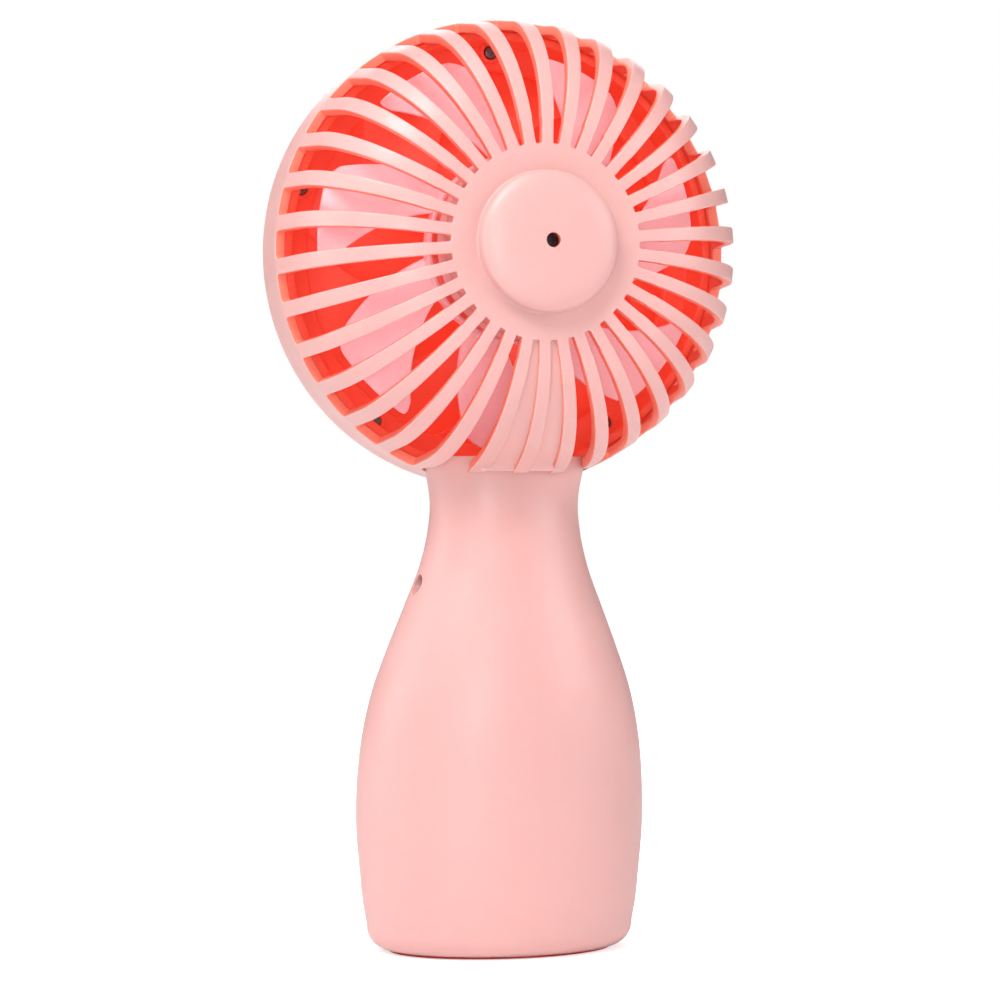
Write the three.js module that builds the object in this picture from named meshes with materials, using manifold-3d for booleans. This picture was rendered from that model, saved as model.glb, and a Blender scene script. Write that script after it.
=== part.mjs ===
// A handheld electric fan: a round guarded head on a bottle-shaped handle that stands on its flat base.
// Millimetres, +Z up. The origin is the middle of the base's underside, the outlet faces -Y and the
// domed inlet guard faces +Y. Head pieces are drawn about the fan axis, which runs along Y.
import * as THREE from 'three';
import { mergeVertices } from 'three/addons/utils/BufferGeometryUtils.js';
import Module from 'manifold-3d';

const wasm = await Module();
wasm.setup();

// ---- Driving dimensions ----

const HEAD_Z = 127.5; // height of the fan axis
const GAP = 0.3; // space kept between touching mouldings
const WALL = 1.8; // wall of a moulding

// Rear guard: rim ring, dome and hub
const RIM_RADIUS = 42.7;
const RIM_WALL = 1.9;
const RIM_FRONT = -8.4;
const RIM_REAR = 2.2;
const RIB_COUNT = 34;
const FIRST_RIB = 90.7; // angle of the topmost rib, degrees
const RIB_DEPTH = 1.8;
const RIB_WIDTH_HUB = 2.25;
const RIB_WIDTH_RIM = 2.8;
const RIB_SINK = 0.15; // how far a rib's foot lies under the ring's skin
const SHOULDER_R = 20.2; // centre and radius of the dome's round shoulder
const SHOULDER_Y = 7.1;
const SHOULDER_RADIUS = 21.45;
const PLATE_RADIUS = 17.3;
const PLATE_Y = SHOULDER_Y + SHOULDER_RADIUS;
const BOSS_RADIUS = 12.5;
const BOSS_HEIGHT = 4.1;
const BOSS_Y = PLATE_Y + BOSS_HEIGHT;
const CUP_RADIUS = 15.3; // bore of the hub's motor cup
const CUP_FRONT = 19;
const WEB_RECESS = 0.5; // the web lies this far under the ribs
const WEB_WALL = 1.2;
const WEB_END_Z = 87.2;

// Motor and fan wheel
const MOTOR_RADIUS = 12.2;
const MOTOR_FRONT = 13.4;
const MOTOR_REAR = 23.7;
const HOLDER_FRONT = 12.6;
const SHAFT_RADIUS = 1;
const HUB_RADIUS = 17;
const HUB_FRONT = 7.4;
const HUB_REAR = 11.9;
const BLADE_COUNT = 7;
const BLADE_RADIUS = 36;
const INLET_Y = 7; // the blades' inlet edge at the tip
const BLADE_WALL = 1.2;

// Front shell and outlet grille
const SHELL_RADIUS = RIM_RADIUS - RIM_WALL - GAP;
const SHELL_BORE = 39.4;
const FLANGE_REAR = -6.8;
const FLANGE_FRONT = FLANGE_REAR - WALL;
const FLANGE_BORE = 34.8;
const BEZEL_FRONT = -12.4;
const BEZEL_BORE = 40;
const LUG_COUNT = 5;
const LUG_CIRCLE = 38;
const GRILLE_RADIUS = BEZEL_BORE - GAP;
const GRILLE_OPENING = 36;
const GRILLE_HUB = 11.5;
const VANE_COUNT = 9;
const FIRST_VANE = 5; // angle of the first vane's front edge at the hub, degrees
const STEM_HALF_WIDTH = 6.3;
const STEM_FRONT = -3;
const STEM_REAR = 0.6;
const STEM_BOTTOM = 74.9;
const STEM_TOP = 87.9;
const STEM_SCREW = { y: -1.2, z: 77.6 };

// Handle: half-width at each height, how deep the section is compared with its width, and how far the
// neck stands back from the middle of the base
const HANDLE_OUTLINE = [
  [1.1, 21.8], [2.3, 23.5], [4.2, 24.5], [6.2, 25.1], [12.2, 25.95], [23.8, 26.9], [36.3, 26.3],
  [47.3, 24.15], [57.3, 20.6], [68.3, 16.4], [79.3, 13.95], [86.3, 14.6], [90.3, 15.5],
];
const HANDLE_BOTTOM = HANDLE_OUTLINE[0][0];
const HANDLE_TOP = 90.2;
const CAVITY_TOP = 81.4;
const BELLY_DEPTH = 0.7;
const WAIST_DEPTH = 0.76;
const NECK_DEPTH = 0.66;
const NECK_SET_BACK = 2.6;
const NECK_REAR = 13; // clear of the neck's rear face

// Handle contents
const BUTTON_Z = 42;
const BUTTON_RADIUS = 5.5;
const BUTTON_FACE = -18.9;
const BEZEL_RING = 7.6;
const BEZEL_SEAT = -16.9;
const USB_Z = 12;
const LENS_Z = 30;
const LENS_RADIUS = 1;
const CELL_RADIUS = 9.15;
const CELL_Y = 2.4;
const CELL_BOTTOM = 5.4;
const CELL_TOP = 70.4;
const BOARD_REAR = -9.4;
const BOARD_FRONT = -10.6;
const BASE_SCREW_X = 14;
const LANYARD_HOLES = [{ z: 67, angle: 4 }, { z: 56.8, angle: -16 }]; // angle towards the rear, degrees
const LANYARD_RADIUS = 1.8;
const WIRE_RADIUS = 0.45;

const ROUND = 2 * RIB_COUNT; // facets on the head's large circles
const MEDIUM = 26; // facets on middling circles
const SMALL = 12; // facets on screws and pins

// ---- Materials ----

const matte = (color, roughness = 0.5) => new THREE.MeshStandardMaterial({ color, roughness, metalness: 0 });
const metal = (color, roughness = 0.35) => new THREE.MeshStandardMaterial({ color, roughness, metalness: 1 });
const PINK = matte(0xf7c5c0);
const BLADE_PINK = matte(0xf8b6ba, 0.35);
const CORAL = matte(0xf04a35);
const WHITE = matte(0xe9e6e0);
const BLACK = matte(0x202022);
const BOARD_GREEN = matte(0x1f6b3c);
const STEEL = metal(0xb9bcc0);
const DARK_STEEL = metal(0x55565a);
const BRONZE = metal(0xa9793e);
const COPPER = metal(0xb5653a);
const NICKEL = metal(0xcfcdc6);
const CELL_BLUE = matte(0x2f6fb0);
const RED_WIRE = matte(0xc0261f);
const FERRITE = matte(0x3a3a3d, 0.7);
const CLEAR = matte(0xf4f4f0, 0.2);

// ---- Solids ----

const MERGE_TOLERANCE = 1e-4;
const radians = THREE.MathUtils.degToRad;
const lerp = THREE.MathUtils.lerp;
const point = (r, y) => new THREE.Vector2(r, y);

function signedVolume(position, index) {
  const corners = [new THREE.Vector3(), new THREE.Vector3(), new THREE.Vector3()];
  let sum = 0;
  for (let i = 0; i < index.length; i += 3) {
    corners.forEach((corner, k) => corner.fromBufferAttribute(position, index[i + k]));
    sum += corners[0].dot(corners[1].cross(corners[2]));
  }
  return sum;
}

// A closed three.js geometry as a solid: shared corners merged, collapsed faces dropped, facing out.
function solidOf(geometry) {
  geometry.deleteAttribute('normal');
  geometry.deleteAttribute('uv');
  const merged = mergeVertices(geometry, MERGE_TOLERANCE);
  const all = merged.index.array;
  const kept = [];
  for (let i = 0; i < all.length; i += 3) {
    const [a, b, c] = [all[i], all[i + 1], all[i + 2]];
    if (a !== b && b !== c && c !== a) kept.push(a, b, c);
  }
  if (signedVolume(merged.attributes.position, kept) < 0) kept.reverse();
  const vertProperties = new Float32Array(merged.attributes.position.array);
  return new wasm.Manifold(new wasm.Mesh({ numProp: 3, vertProperties, triVerts: new Uint32Array(kept) }));
}

const join = (solids) => solids.reduce((sum, solid) => sum.add(solid));
const cut = (solid, tools) => tools.reduce((rest, tool) => rest.subtract(tool), solid);

function box(low, high) {
  const size = high.map((value, i) => value - low[i]);
  const middle = high.map((value, i) => (value + low[i]) / 2);
  return solidOf(new THREE.BoxGeometry(...size).translate(...middle));
}

// A turned piece about the Y axis, or about Z. Its profile closes on itself or ends on the axis.
function turnedY(profile, sides) {
  return solidOf(new THREE.LatheGeometry(profile.map(([r, y]) => point(r, y)), sides));
}

function turnedZ(profile, sides, x = 0, y = 0) {
  const geometry = new THREE.LatheGeometry(profile.map(([r, z]) => point(r, z)), sides);
  return solidOf(geometry.rotateX(Math.PI / 2).translate(x, y, 0));
}

const rodY = (radius, from, to, sides, x = 0, z = 0) =>
  solidOf(new THREE.CylinderGeometry(radius, radius, to - from, sides).translate(x, (from + to) / 2, z));

function rodZ(radius, from, to, sides, x = 0, y = 0) {
  const geometry = new THREE.CylinderGeometry(radius, radius, to - from, sides).rotateX(Math.PI / 2);
  return solidOf(geometry.translate(x, y, (from + to) / 2));
}

function rodX(radius, from, to, sides, y, z) {
  const geometry = new THREE.CylinderGeometry(radius, radius, to - from, sides).rotateZ(Math.PI / 2);
  return solidOf(geometry.translate((from + to) / 2, y, z));
}

// A box bent to shape: place(u, v, w) gives the spot of each corner, with u, v and w from 0 to 1.
function bentBox(across, through, along, place) {
  const geometry = new THREE.BoxGeometry(1, 1, 1, across, through, along);
  const position = geometry.attributes.position;
  for (let i = 0; i < position.count; i += 1) {
    const spot = place(position.getX(i) + 0.5, position.getY(i) + 0.5, position.getZ(i) + 0.5);
    position.setXYZ(i, spot.x, spot.y, spot.z);
  }
  return solidOf(geometry);
}

function wire(route) {
  const spots = route.map((spot) => new THREE.Vector3(...spot));
  const curve = new THREE.CatmullRomCurve3(spots, false, 'centripetal');
  const section = new THREE.Shape().absarc(0, 0, WIRE_RADIUS, 0, 2 * Math.PI);
  const steps = 2 * (route.length - 1);
  const settings = { steps, extrudePath: curve, curveSegments: 3, bevelEnabled: false };
  return solidOf(new THREE.ExtrudeGeometry(section, settings));
}

const polar = (radius, degrees, y) =>
  new THREE.Vector3(radius * Math.cos(radians(degrees)), y, radius * Math.sin(radians(degrees)));

function node(name, solid, material) {
  const { vertProperties, triVerts } = solid.getMesh();
  const geometry = new THREE.BufferGeometry();
  geometry.setAttribute('position', new THREE.BufferAttribute(vertProperties, 3));
  geometry.setIndex(new THREE.BufferAttribute(triVerts, 1));
  const mesh = new THREE.Mesh(geometry, material);
  mesh.name = name;
  return mesh;
}

// ---- Rear guard ----

// The angle at which the straight drafted wall above the rim runs into the round shoulder.
const toRim = point(RIM_RADIUS - SHOULDER_R, RIM_REAR - SHOULDER_Y);
const WALL_ANGLE = Math.atan2(toRim.y, toRim.x) + Math.acos(SHOULDER_RADIUS / toRim.length());

// Section of the dome at a depth below its skin: the wall, the shoulder and the flat towards the hub.
function domeSection(inset) {
  const shoulderSteps = 4;
  const footDepth = 1;
  const depth = inset + RIB_SINK;
  const foot = point(
    RIM_RADIUS + footDepth * Math.sin(WALL_ANGLE) - depth * Math.cos(WALL_ANGLE),
    RIM_REAR - footDepth * Math.cos(WALL_ANGLE) - depth * Math.sin(WALL_ANGLE),
  );
  const section = [foot];
  for (let i = 0; i <= shoulderSteps; i += 1) {
    const angle = lerp(WALL_ANGLE, Math.PI / 2, i / shoulderSteps);
    const radius = SHOULDER_RADIUS - inset;
    section.push(point(SHOULDER_R + radius * Math.cos(angle), SHOULDER_Y + radius * Math.sin(angle)));
  }
  section.push(point(PLATE_RADIUS - 1, PLATE_Y - inset));
  return section;
}

function guardRib(degrees) {
  const skin = domeSection(0);
  const inside = domeSection(RIB_DEPTH);
  const last = skin.length - 1;
  return bentBox(1, 1, last, (u, v, w) => {
    const i = Math.round(w * last);
    const spot = v > 0.5 ? skin[i] : inside[i];
    const share = (skin[i].x - PLATE_RADIUS) / (RIM_RADIUS - PLATE_RADIUS);
    const sideways = (u - 0.5) * lerp(RIB_WIDTH_HUB, RIB_WIDTH_RIM, share);
    return polar(spot.x, degrees, spot.y).add(polar(sideways, degrees + 90, 0));
  });
}

function guardWeb(degrees) {
  const skin = domeSection(WEB_RECESS);
  const inside = domeSection(WEB_RECESS + WEB_WALL);
  const last = skin.length - 1;
  const pitch = 360 / RIB_COUNT;
  return bentBox(2, 1, last, (u, v, w) => {
    const i = Math.round(w * last);
    const spot = v > 0.5 ? skin[i] : inside[i];
    return polar(spot.x, degrees + lerp(-pitch, pitch, u), spot.y);
  });
}

// Hub plate with the raised boss behind, the motor cup in front and a stepped screw hole in the middle.
function guardHub() {
  const crown = [];
  const crownSteps = 4;
  const crownRadius = 2.4;
  for (let i = 0; i <= crownSteps; i += 1) {
    const angle = lerp(Math.PI / 2, 0, i / crownSteps);
    crown.push([
      BOSS_RADIUS - crownRadius + crownRadius * Math.cos(angle),
      BOSS_Y - crownRadius + crownRadius * Math.sin(angle),
    ]);
  }
  const headBore = 1.35;
  const shankBore = 1;
  const ledgeRear = 30.9;
  const ledgeFront = 29.9;
  const bossBore = 10.4;
  const plateFront = PLATE_Y - WALL;
  return turnedY([
    [headBore, BOSS_Y], ...crown, [BOSS_RADIUS + 0.5, PLATE_Y], [PLATE_RADIUS, PLATE_Y],
    [PLATE_RADIUS, CUP_FRONT], [CUP_RADIUS, CUP_FRONT], [CUP_RADIUS, plateFront], [bossBore, plateFront],
    [bossBore, ledgeFront], [shankBore, ledgeFront], [shankBore, ledgeRear], [headBore, ledgeRear],
    [headBore, BOSS_Y],
  ], ROUND);
}

function rearGuard() {
  const bore = RIM_RADIUS - RIM_WALL;
  const ring = turnedY([
    [RIM_RADIUS, RIM_FRONT], [RIM_RADIUS, RIM_REAR], [bore, RIM_REAR], [bore, RIM_FRONT],
    [RIM_RADIUS, RIM_FRONT],
  ], ROUND);
  const ribs = [];
  for (let i = 0; i < RIB_COUNT; i += 1) ribs.push(guardRib(FIRST_RIB + (360 / RIB_COUNT) * i));
  const whole = join([guardHub(), ring, ...ribs, guardWeb(FIRST_RIB + 180)]);
  const neckHalf = 15.8;
  const neckTop = HANDLE_TOP + 0.5 - HEAD_Z;
  const stemHalf = STEM_HALF_WIDTH + 0.4;
  const below = -50;
  return cut(whole, [
    box([-neckHalf, RIM_REAR + 0.1, below], [neckHalf, NECK_REAR, neckTop]), // neck's upstand
    box([-neckHalf, NECK_REAR - 1, below], [neckHalf, PLATE_Y, WEB_END_Z - HEAD_Z]), // flat-cut rib ends
    box([-stemHalf, STEM_FRONT - 0.4, below], [stemHalf, RIM_REAR + 1, 88 - HEAD_Z]), // shell's stem
    box([-3.4, CUP_FRONT - 1, -PLATE_RADIUS - 0.6], [3.4, 24.4, -CUP_RADIUS + 0.8]), // wires into the cup
  ]);
}

// ---- Motor ----

function motorHolder() {
  const bodyRadius = CUP_RADIUS - GAP;
  const lipRadius = 16.6;
  const lipRear = CUP_FRONT - GAP;
  const back = PLATE_Y - WALL - GAP;
  const floor = MOTOR_REAR + 1.3;
  const bore = MOTOR_RADIUS + GAP;
  const postRadius = 2.6;
  const postEnd = 29.6;
  const pilot = 0.95;
  const cup = turnedY([
    [pilot, postEnd], [postRadius, postEnd], [postRadius, back], [bodyRadius, back], [bodyRadius, lipRear],
    [lipRadius, lipRear], [lipRadius, HOLDER_FRONT], [bore, HOLDER_FRONT], [bore, floor], [pilot, floor],
    [pilot, postEnd],
  ], MEDIUM);
  return cut(cup, [box([-4.4, CUP_FRONT - 0.8, -lipRadius - 1], [4.4, floor, -bore + 2])]);
}

const ringSection = (inner, outer, from, to) =>
  [[inner, from], [outer, from], [outer, to], [inner, to], [inner, from]];

const motorCan = () => turnedY([
  [2.5, MOTOR_FRONT - 1.1], [3.4, MOTOR_FRONT - 1.1], [3.4, MOTOR_FRONT], [MOTOR_RADIUS, MOTOR_FRONT],
  [MOTOR_RADIUS, MOTOR_REAR], [MOTOR_RADIUS - 0.8, MOTOR_REAR], [MOTOR_RADIUS - 0.8, MOTOR_FRONT + 0.8],
  [2.5, MOTOR_FRONT + 0.8], [2.5, MOTOR_FRONT - 1.1],
], MEDIUM);

const bush = (from, to) => turnedY(ringSection(SHAFT_RADIUS + GAP, 2.2, from, to), SMALL);

const commutator = () =>
  turnedY(ringSection(SHAFT_RADIUS + GAP, 2.1, MOTOR_FRONT + 7.3, MOTOR_FRONT + 8.4), SMALL);

// A slice of a tube about the Y axis, between two radii and two angles.
function tubeSlice(inner, outer, fromDegrees, toDegrees, front, rear, steps) {
  return bentBox(steps, 1, 1, (u, v, w) =>
    polar(lerp(inner, outer, v), lerp(fromDegrees, toDegrees, u), lerp(front, rear, w)));
}

const motorMagnet = (degrees) =>
  tubeSlice(9.3, 11.1, degrees, degrees + 136, MOTOR_FRONT + 1.8, MOTOR_FRONT + 7.8, 10);

const POLE_ANGLES = [90, 210, 330];

function motorArmature() {
  const front = MOTOR_FRONT + 2.3;
  const rear = MOTOR_FRONT + 6.3;
  const poles = [turnedY(ringSection(SHAFT_RADIUS + GAP, 3.2, front, rear), SMALL)];
  for (const degrees of POLE_ANGLES) {
    poles.push(tubeSlice(7.2, 8.7, degrees - 48, degrees + 48, front, rear, 6));
    poles.push(bentBox(1, 1, 1, (u, v, w) => {
      const spot = polar(lerp(2.8, 7.6, v), degrees, lerp(front, rear, w));
      return spot.add(polar((u - 0.5) * 2.4, degrees + 90, 0));
    }));
  }
  return join(poles);
}

function winding(degrees) {
  const middle = MOTOR_FRONT + 4.3;
  const coil = (halfWidth, halfLength, inner, outer) => bentBox(1, 1, 1, (u, v, w) => {
    const spot = polar(lerp(inner, outer, v), degrees, middle + (2 * w - 1) * halfLength);
    return spot.add(polar((2 * u - 1) * halfWidth, degrees + 90, 0));
  });
  return cut(coil(2.5, 2.8, 4.2, 6.4), [coil(1.5, 2.3, 4, 7)]);
}

// ---- Fan wheel ----

const bladeTurn = (share) => lerp(30, 0, share); // sweep of the inlet edge from hub to tip, degrees
const bladeSpan = (share) => lerp(24, 31.5, share); // angle that the blade covers, degrees
const bladeFall = (share) => lerp(HUB_FRONT + 0.9, 3.2, share); // height of the outlet edge
const FIRST_BLADE = 95.1; // where the first blade's inlet edge meets its tip, degrees

function blade(degrees) {
  const rootRadius = HUB_RADIUS - 0.8;
  const radialSteps = 3;
  const chordSteps = 4;
  return bentBox(radialSteps, 1, chordSteps, (u, v, w) => {
    const radius = lerp(rootRadius, BLADE_RADIUS, u);
    const camber = 0.9 * Math.sin(Math.PI * w);
    const inlet = lerp(HUB_REAR - 0.8, INLET_Y, u);
    const y = lerp(inlet, bladeFall(u), w) + camber * u + (v - 0.5) * BLADE_WALL;
    return polar(radius, degrees + bladeTurn(u) + bladeSpan(u) * w, y);
  });
}

function impeller() {
  const hub = turnedY([
    [0, HUB_FRONT - 0.7], [6, HUB_FRONT - 0.7], [HUB_RADIUS - 1.4, HUB_FRONT], [HUB_RADIUS, HUB_FRONT + 1],
    [HUB_RADIUS, HUB_REAR], [HUB_RADIUS - 1.5, HUB_REAR], [HUB_RADIUS - 1.5, HUB_FRONT + 1.9],
    [3.6, HUB_FRONT + 1.3], [3.6, HUB_REAR - 0.6], [SHAFT_RADIUS + GAP, HUB_REAR - 0.6],
    [SHAFT_RADIUS + GAP, HUB_FRONT + 1], [0, HUB_FRONT + 1],
  ], 42);
  const blades = [];
  for (let i = 0; i < BLADE_COUNT; i += 1) blades.push(blade(FIRST_BLADE + (360 / BLADE_COUNT) * i));
  return join([hub, ...blades]);
}

// ---- Front shell and outlet grille ----

const lugAngle = (i) => 90 + (360 / LUG_COUNT) * i;

function frontShell() {
  const rear = 0.6;
  const ring = turnedY([
    [SHELL_RADIUS, rear], [SHELL_RADIUS, RIM_FRONT - GAP], [RIM_RADIUS - 0.4, RIM_FRONT - GAP],
    [RIM_RADIUS - 0.9, BEZEL_FRONT + 2.2], [RIM_RADIUS - 1.7, BEZEL_FRONT], [BEZEL_BORE, BEZEL_FRONT],
    [BEZEL_BORE, FLANGE_FRONT], [FLANGE_BORE, FLANGE_FRONT], [FLANGE_BORE, FLANGE_REAR],
    [SHELL_BORE, FLANGE_REAR], [SHELL_BORE, rear], [SHELL_RADIUS, rear],
  ], ROUND);
  const stem = box(
    [-STEM_HALF_WIDTH, STEM_FRONT, STEM_BOTTOM - HEAD_Z],
    [STEM_HALF_WIDTH, STEM_REAR, STEM_TOP - HEAD_Z],
  );
  const holes = [];
  for (let i = 0; i < LUG_COUNT; i += 1) {
    const spot = polar(LUG_CIRCLE, lugAngle(i), 0);
    holes.push(rodY(1, FLANGE_FRONT - 1, FLANGE_REAR + 1, SMALL, spot.x, spot.z));
  }
  for (const side of [-1, 1]) {
    holes.push(rodX(0.9, side * 2, side * 7, SMALL, STEM_SCREW.y, STEM_SCREW.z - HEAD_Z));
  }
  return cut(join([ring, stem]), holes);
}

function grilleScrew(i) {
  const spot = polar(LUG_CIRCLE, lugAngle(i), 0);
  const head = FLANGE_REAR + 0.2;
  const screw = join([
    rodY(1.2, head, head + 1.2, SMALL, spot.x, spot.z),
    rodY(0.7, -11.6, head + 0.4, SMALL, spot.x, spot.z),
  ]);
  const slot = box([spot.x - 0.7, head + 0.8, spot.z - 0.15], [spot.x + 0.7, head + 2, spot.z + 0.15]);
  return cut(screw, [slot]);
}

// A louvre of the outlet. Its front edge lies over the rear edge of the next, so nothing shows through.
function grilleVane(degrees) {
  const spread = 44; // angle that a vane covers, degrees
  const swirl = 42; // how far a vane turns from hub to rim, degrees
  const vaneWall = 0.9;
  return bentBox(3, 1, 4, (u, v, w) => {
    const radius = lerp(GRILLE_HUB - 0.8, GRILLE_OPENING + 0.6, w);
    const rearEdge = -9.6 + 2.8 * Math.sin(Math.PI * w);
    const y = lerp(-12, rearEdge, u) + (v - 0.5) * vaneWall;
    return polar(radius, degrees + spread * u + swirl * w ** 1.3, y);
  });
}

function frontGrille() {
  const rear = FLANGE_FRONT - GAP;
  const face = -12.6;
  const ring = turnedY(ringSection(GRILLE_OPENING, GRILLE_RADIUS, face, rear), ROUND);
  const hub = rodY(GRILLE_HUB, face + 0.4, rear - 0.4, 36);
  const vanes = [];
  for (let i = 0; i < VANE_COUNT; i += 1) vanes.push(grilleVane(FIRST_VANE + (360 / VANE_COUNT) * i));
  const pilots = [];
  for (let i = 0; i < LUG_COUNT; i += 1) {
    const spot = polar(LUG_CIRCLE, lugAngle(i), 0);
    pilots.push(rodY(1, -11.9, rear + 1, SMALL, spot.x, spot.z));
  }
  return cut(join([ring, hub, ...vanes]), pilots);
}

const frontCap = () => turnedY([[0, -13.8], [7.4, -13.6], [9.6, -13.1], [10.2, -12.4], [0, -12.4]], MEDIUM);

function guardScrew() {
  const screw = join([rodY(1.15, 31, 31.9, SMALL), rodY(0.7, 26, 31.2, SMALL)]);
  const slotAcross = box([-0.75, 31.5, -0.16], [0.75, 33, 0.16]);
  const slotAlong = box([-0.16, 31.5, -0.75], [0.16, 33, 0.75]);
  return cut(screw, [slotAcross, slotAlong]);
}

function headPieces() {
  const head = new THREE.Group();
  head.position.z = HEAD_Z;
  head.add(
    node('rear_guard', rearGuard(), PINK),
    node('guard_screw', guardScrew(), DARK_STEEL),
    node('motor_holder', motorHolder(), CORAL),
    node('motor_can', motorCan(), STEEL),
    node('motor_end_cap', turnedY(ringSection(2.5, 11.1, MOTOR_REAR - 1.7, MOTOR_REAR - 0.1), MEDIUM), WHITE),
    node('front_bush', bush(MOTOR_FRONT - 1, MOTOR_FRONT + 1.4), BRONZE),
    node('rear_bush', bush(MOTOR_REAR - 1.6, MOTOR_REAR - 0.2), BRONZE),
    node('motor_magnet_1', motorMagnet(22), FERRITE),
    node('motor_magnet_2', motorMagnet(202), FERRITE),
    node('motor_shaft', rodY(SHAFT_RADIUS, HUB_FRONT + 1.3, MOTOR_REAR, SMALL), STEEL),
    node('motor_armature', motorArmature(), DARK_STEEL),
    node('commutator', commutator(), COPPER),
    node('impeller', impeller(), BLADE_PINK),
    node('front_shell', frontShell(), CORAL),
    node('front_grille', frontGrille(), CORAL),
    node('front_cap', frontCap(), PINK),
  );
  POLE_ANGLES.forEach((degrees, i) => head.add(node(`winding_${i + 1}`, winding(degrees), COPPER)));
  for (let i = 0; i < LUG_COUNT; i += 1) head.add(node(`grille_screw_${i + 1}`, grilleScrew(i), DARK_STEEL));
  return head;
}

// ---- Handle sleeve ----

const outline = new THREE.CubicInterpolant(
  HANDLE_OUTLINE.map(([z]) => z), HANDLE_OUTLINE.map(([, half]) => half), 1,
);
const halfWidth = (z) => outline.evaluate(z)[0];
const { smoothstep } = THREE.MathUtils;
const setBack = (z) => NECK_SET_BACK * smoothstep(z, 20, 85);

function halfDepth(z) {
  const waist = lerp(BELLY_DEPTH, WAIST_DEPTH, smoothstep(z, 30, 62));
  return halfWidth(z) * lerp(waist, NECK_DEPTH, smoothstep(z, 72, 88));
}

// The handle's round body between two heights, drawn in by an inset all round.
function handleBody(inset, heights, sides) {
  const profile = [point(0, heights[0]), ...heights.map((z) => point(1, z)), point(0, heights.at(-1))];
  const geometry = new THREE.LatheGeometry(profile, sides).rotateX(Math.PI / 2);
  const position = geometry.attributes.position;
  for (let i = 0; i < position.count; i += 1) {
    const z = position.getZ(i);
    const level = THREE.MathUtils.clamp(z, HANDLE_BOTTOM, HANDLE_OUTLINE.at(-1)[0]);
    position.setX(i, position.getX(i) * (halfWidth(level) - inset));
    position.setY(i, position.getY(i) * (halfDepth(level) - inset) + setBack(level));
  }
  return solidOf(geometry);
}

function handleHeights(from, to) {
  const corner = HANDLE_OUTLINE.slice(1, 4).map(([z]) => z).filter((z) => z > from);
  const heights = [from, ...corner];
  const step = 10;
  for (let z = 12; z < to - step / 2; z += step) heights.push(z);
  return [...heights, to];
}

function lanyardHole({ z, angle }) {
  const reach = 9;
  const tool = new THREE.CylinderGeometry(LANYARD_RADIUS, LANYARD_RADIUS, reach, 16).rotateZ(Math.PI / 2);
  tool.translate(halfWidth(z) - 0.5, 0, 0).rotateZ(radians(angle)).translate(0, setBack(z), z);
  return solidOf(tool);
}

function handleSleeve() {
  const sides = 36;
  const outside = handleBody(0, handleHeights(HANDLE_BOTTOM, HANDLE_TOP), sides);
  const inside = handleBody(WALL, handleHeights(HANDLE_BOTTOM - 1, CAVITY_TOP), sides);
  const saddle = rodY(RIM_RADIUS + GAP, -20, RIM_REAR + GAP, ROUND).translate([0, 0, HEAD_Z]);
  const slotHalf = STEM_HALF_WIDTH + GAP;
  return cut(outside, [
    inside,
    saddle,
    box([-slotHalf, STEM_FRONT - GAP, CAVITY_TOP - 1], [slotHalf, STEM_REAR + GAP, HANDLE_TOP + 1]),
    box([-2.6, 5.4, CAVITY_TOP - 1], [2.6, 9.2, 88.9]), // wires up the neck
    box([-2.6, 8, 87.9], [2.6, NECK_REAR + 3, HANDLE_TOP + 1]), // and out behind it
    rodY(BUTTON_RADIUS + GAP, -22, -12, MEDIUM, 0, BUTTON_Z),
    rodY(BEZEL_RING + GAP, -22, BEZEL_SEAT, MEDIUM, 0, BUTTON_Z),
    rodY(LENS_RADIUS + GAP, -22, -12, SMALL, 0, LENS_Z),
    box([-4.9, -22, USB_Z - 2], [4.9, -13, USB_Z + 2]),
    ...LANYARD_HOLES.map(lanyardHole),
  ]);
}

function basePlate() {
  const flange = 0.8;
  const plugTop = 3.6;
  const outer = turnedZ([
    [0, 0], [20.6, 0], [21.1, 0.3], [21.1, flange], [19.4, flange], [19.4, plugTop], [0, plugTop],
  ], 36);
  const whole = outer.scale([1, BELLY_DEPTH * 0.96, 1]);
  const tools = [];
  for (const x of [-BASE_SCREW_X, BASE_SCREW_X]) {
    tools.push(rodZ(2.4, -1, 1.7, SMALL, x), rodZ(1.2, 0, 5, SMALL, x));
  }
  return cut(whole, tools);
}

function baseScrew(x) {
  const screw = join([rodZ(2.1, 0.4, 1.5, SMALL, x), rodZ(0.9, 1.2, 9.6, SMALL, x)]);
  const slotAcross = box([x - 1.2, -0.16, 0], [x + 1.2, 0.16, 0.9]);
  const slotAlong = box([x - 0.16, -1.2, 0], [x + 0.16, 1.2, 0.9]);
  return cut(screw, [slotAcross, slotAlong]);
}

// ---- Handle contents ----

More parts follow.
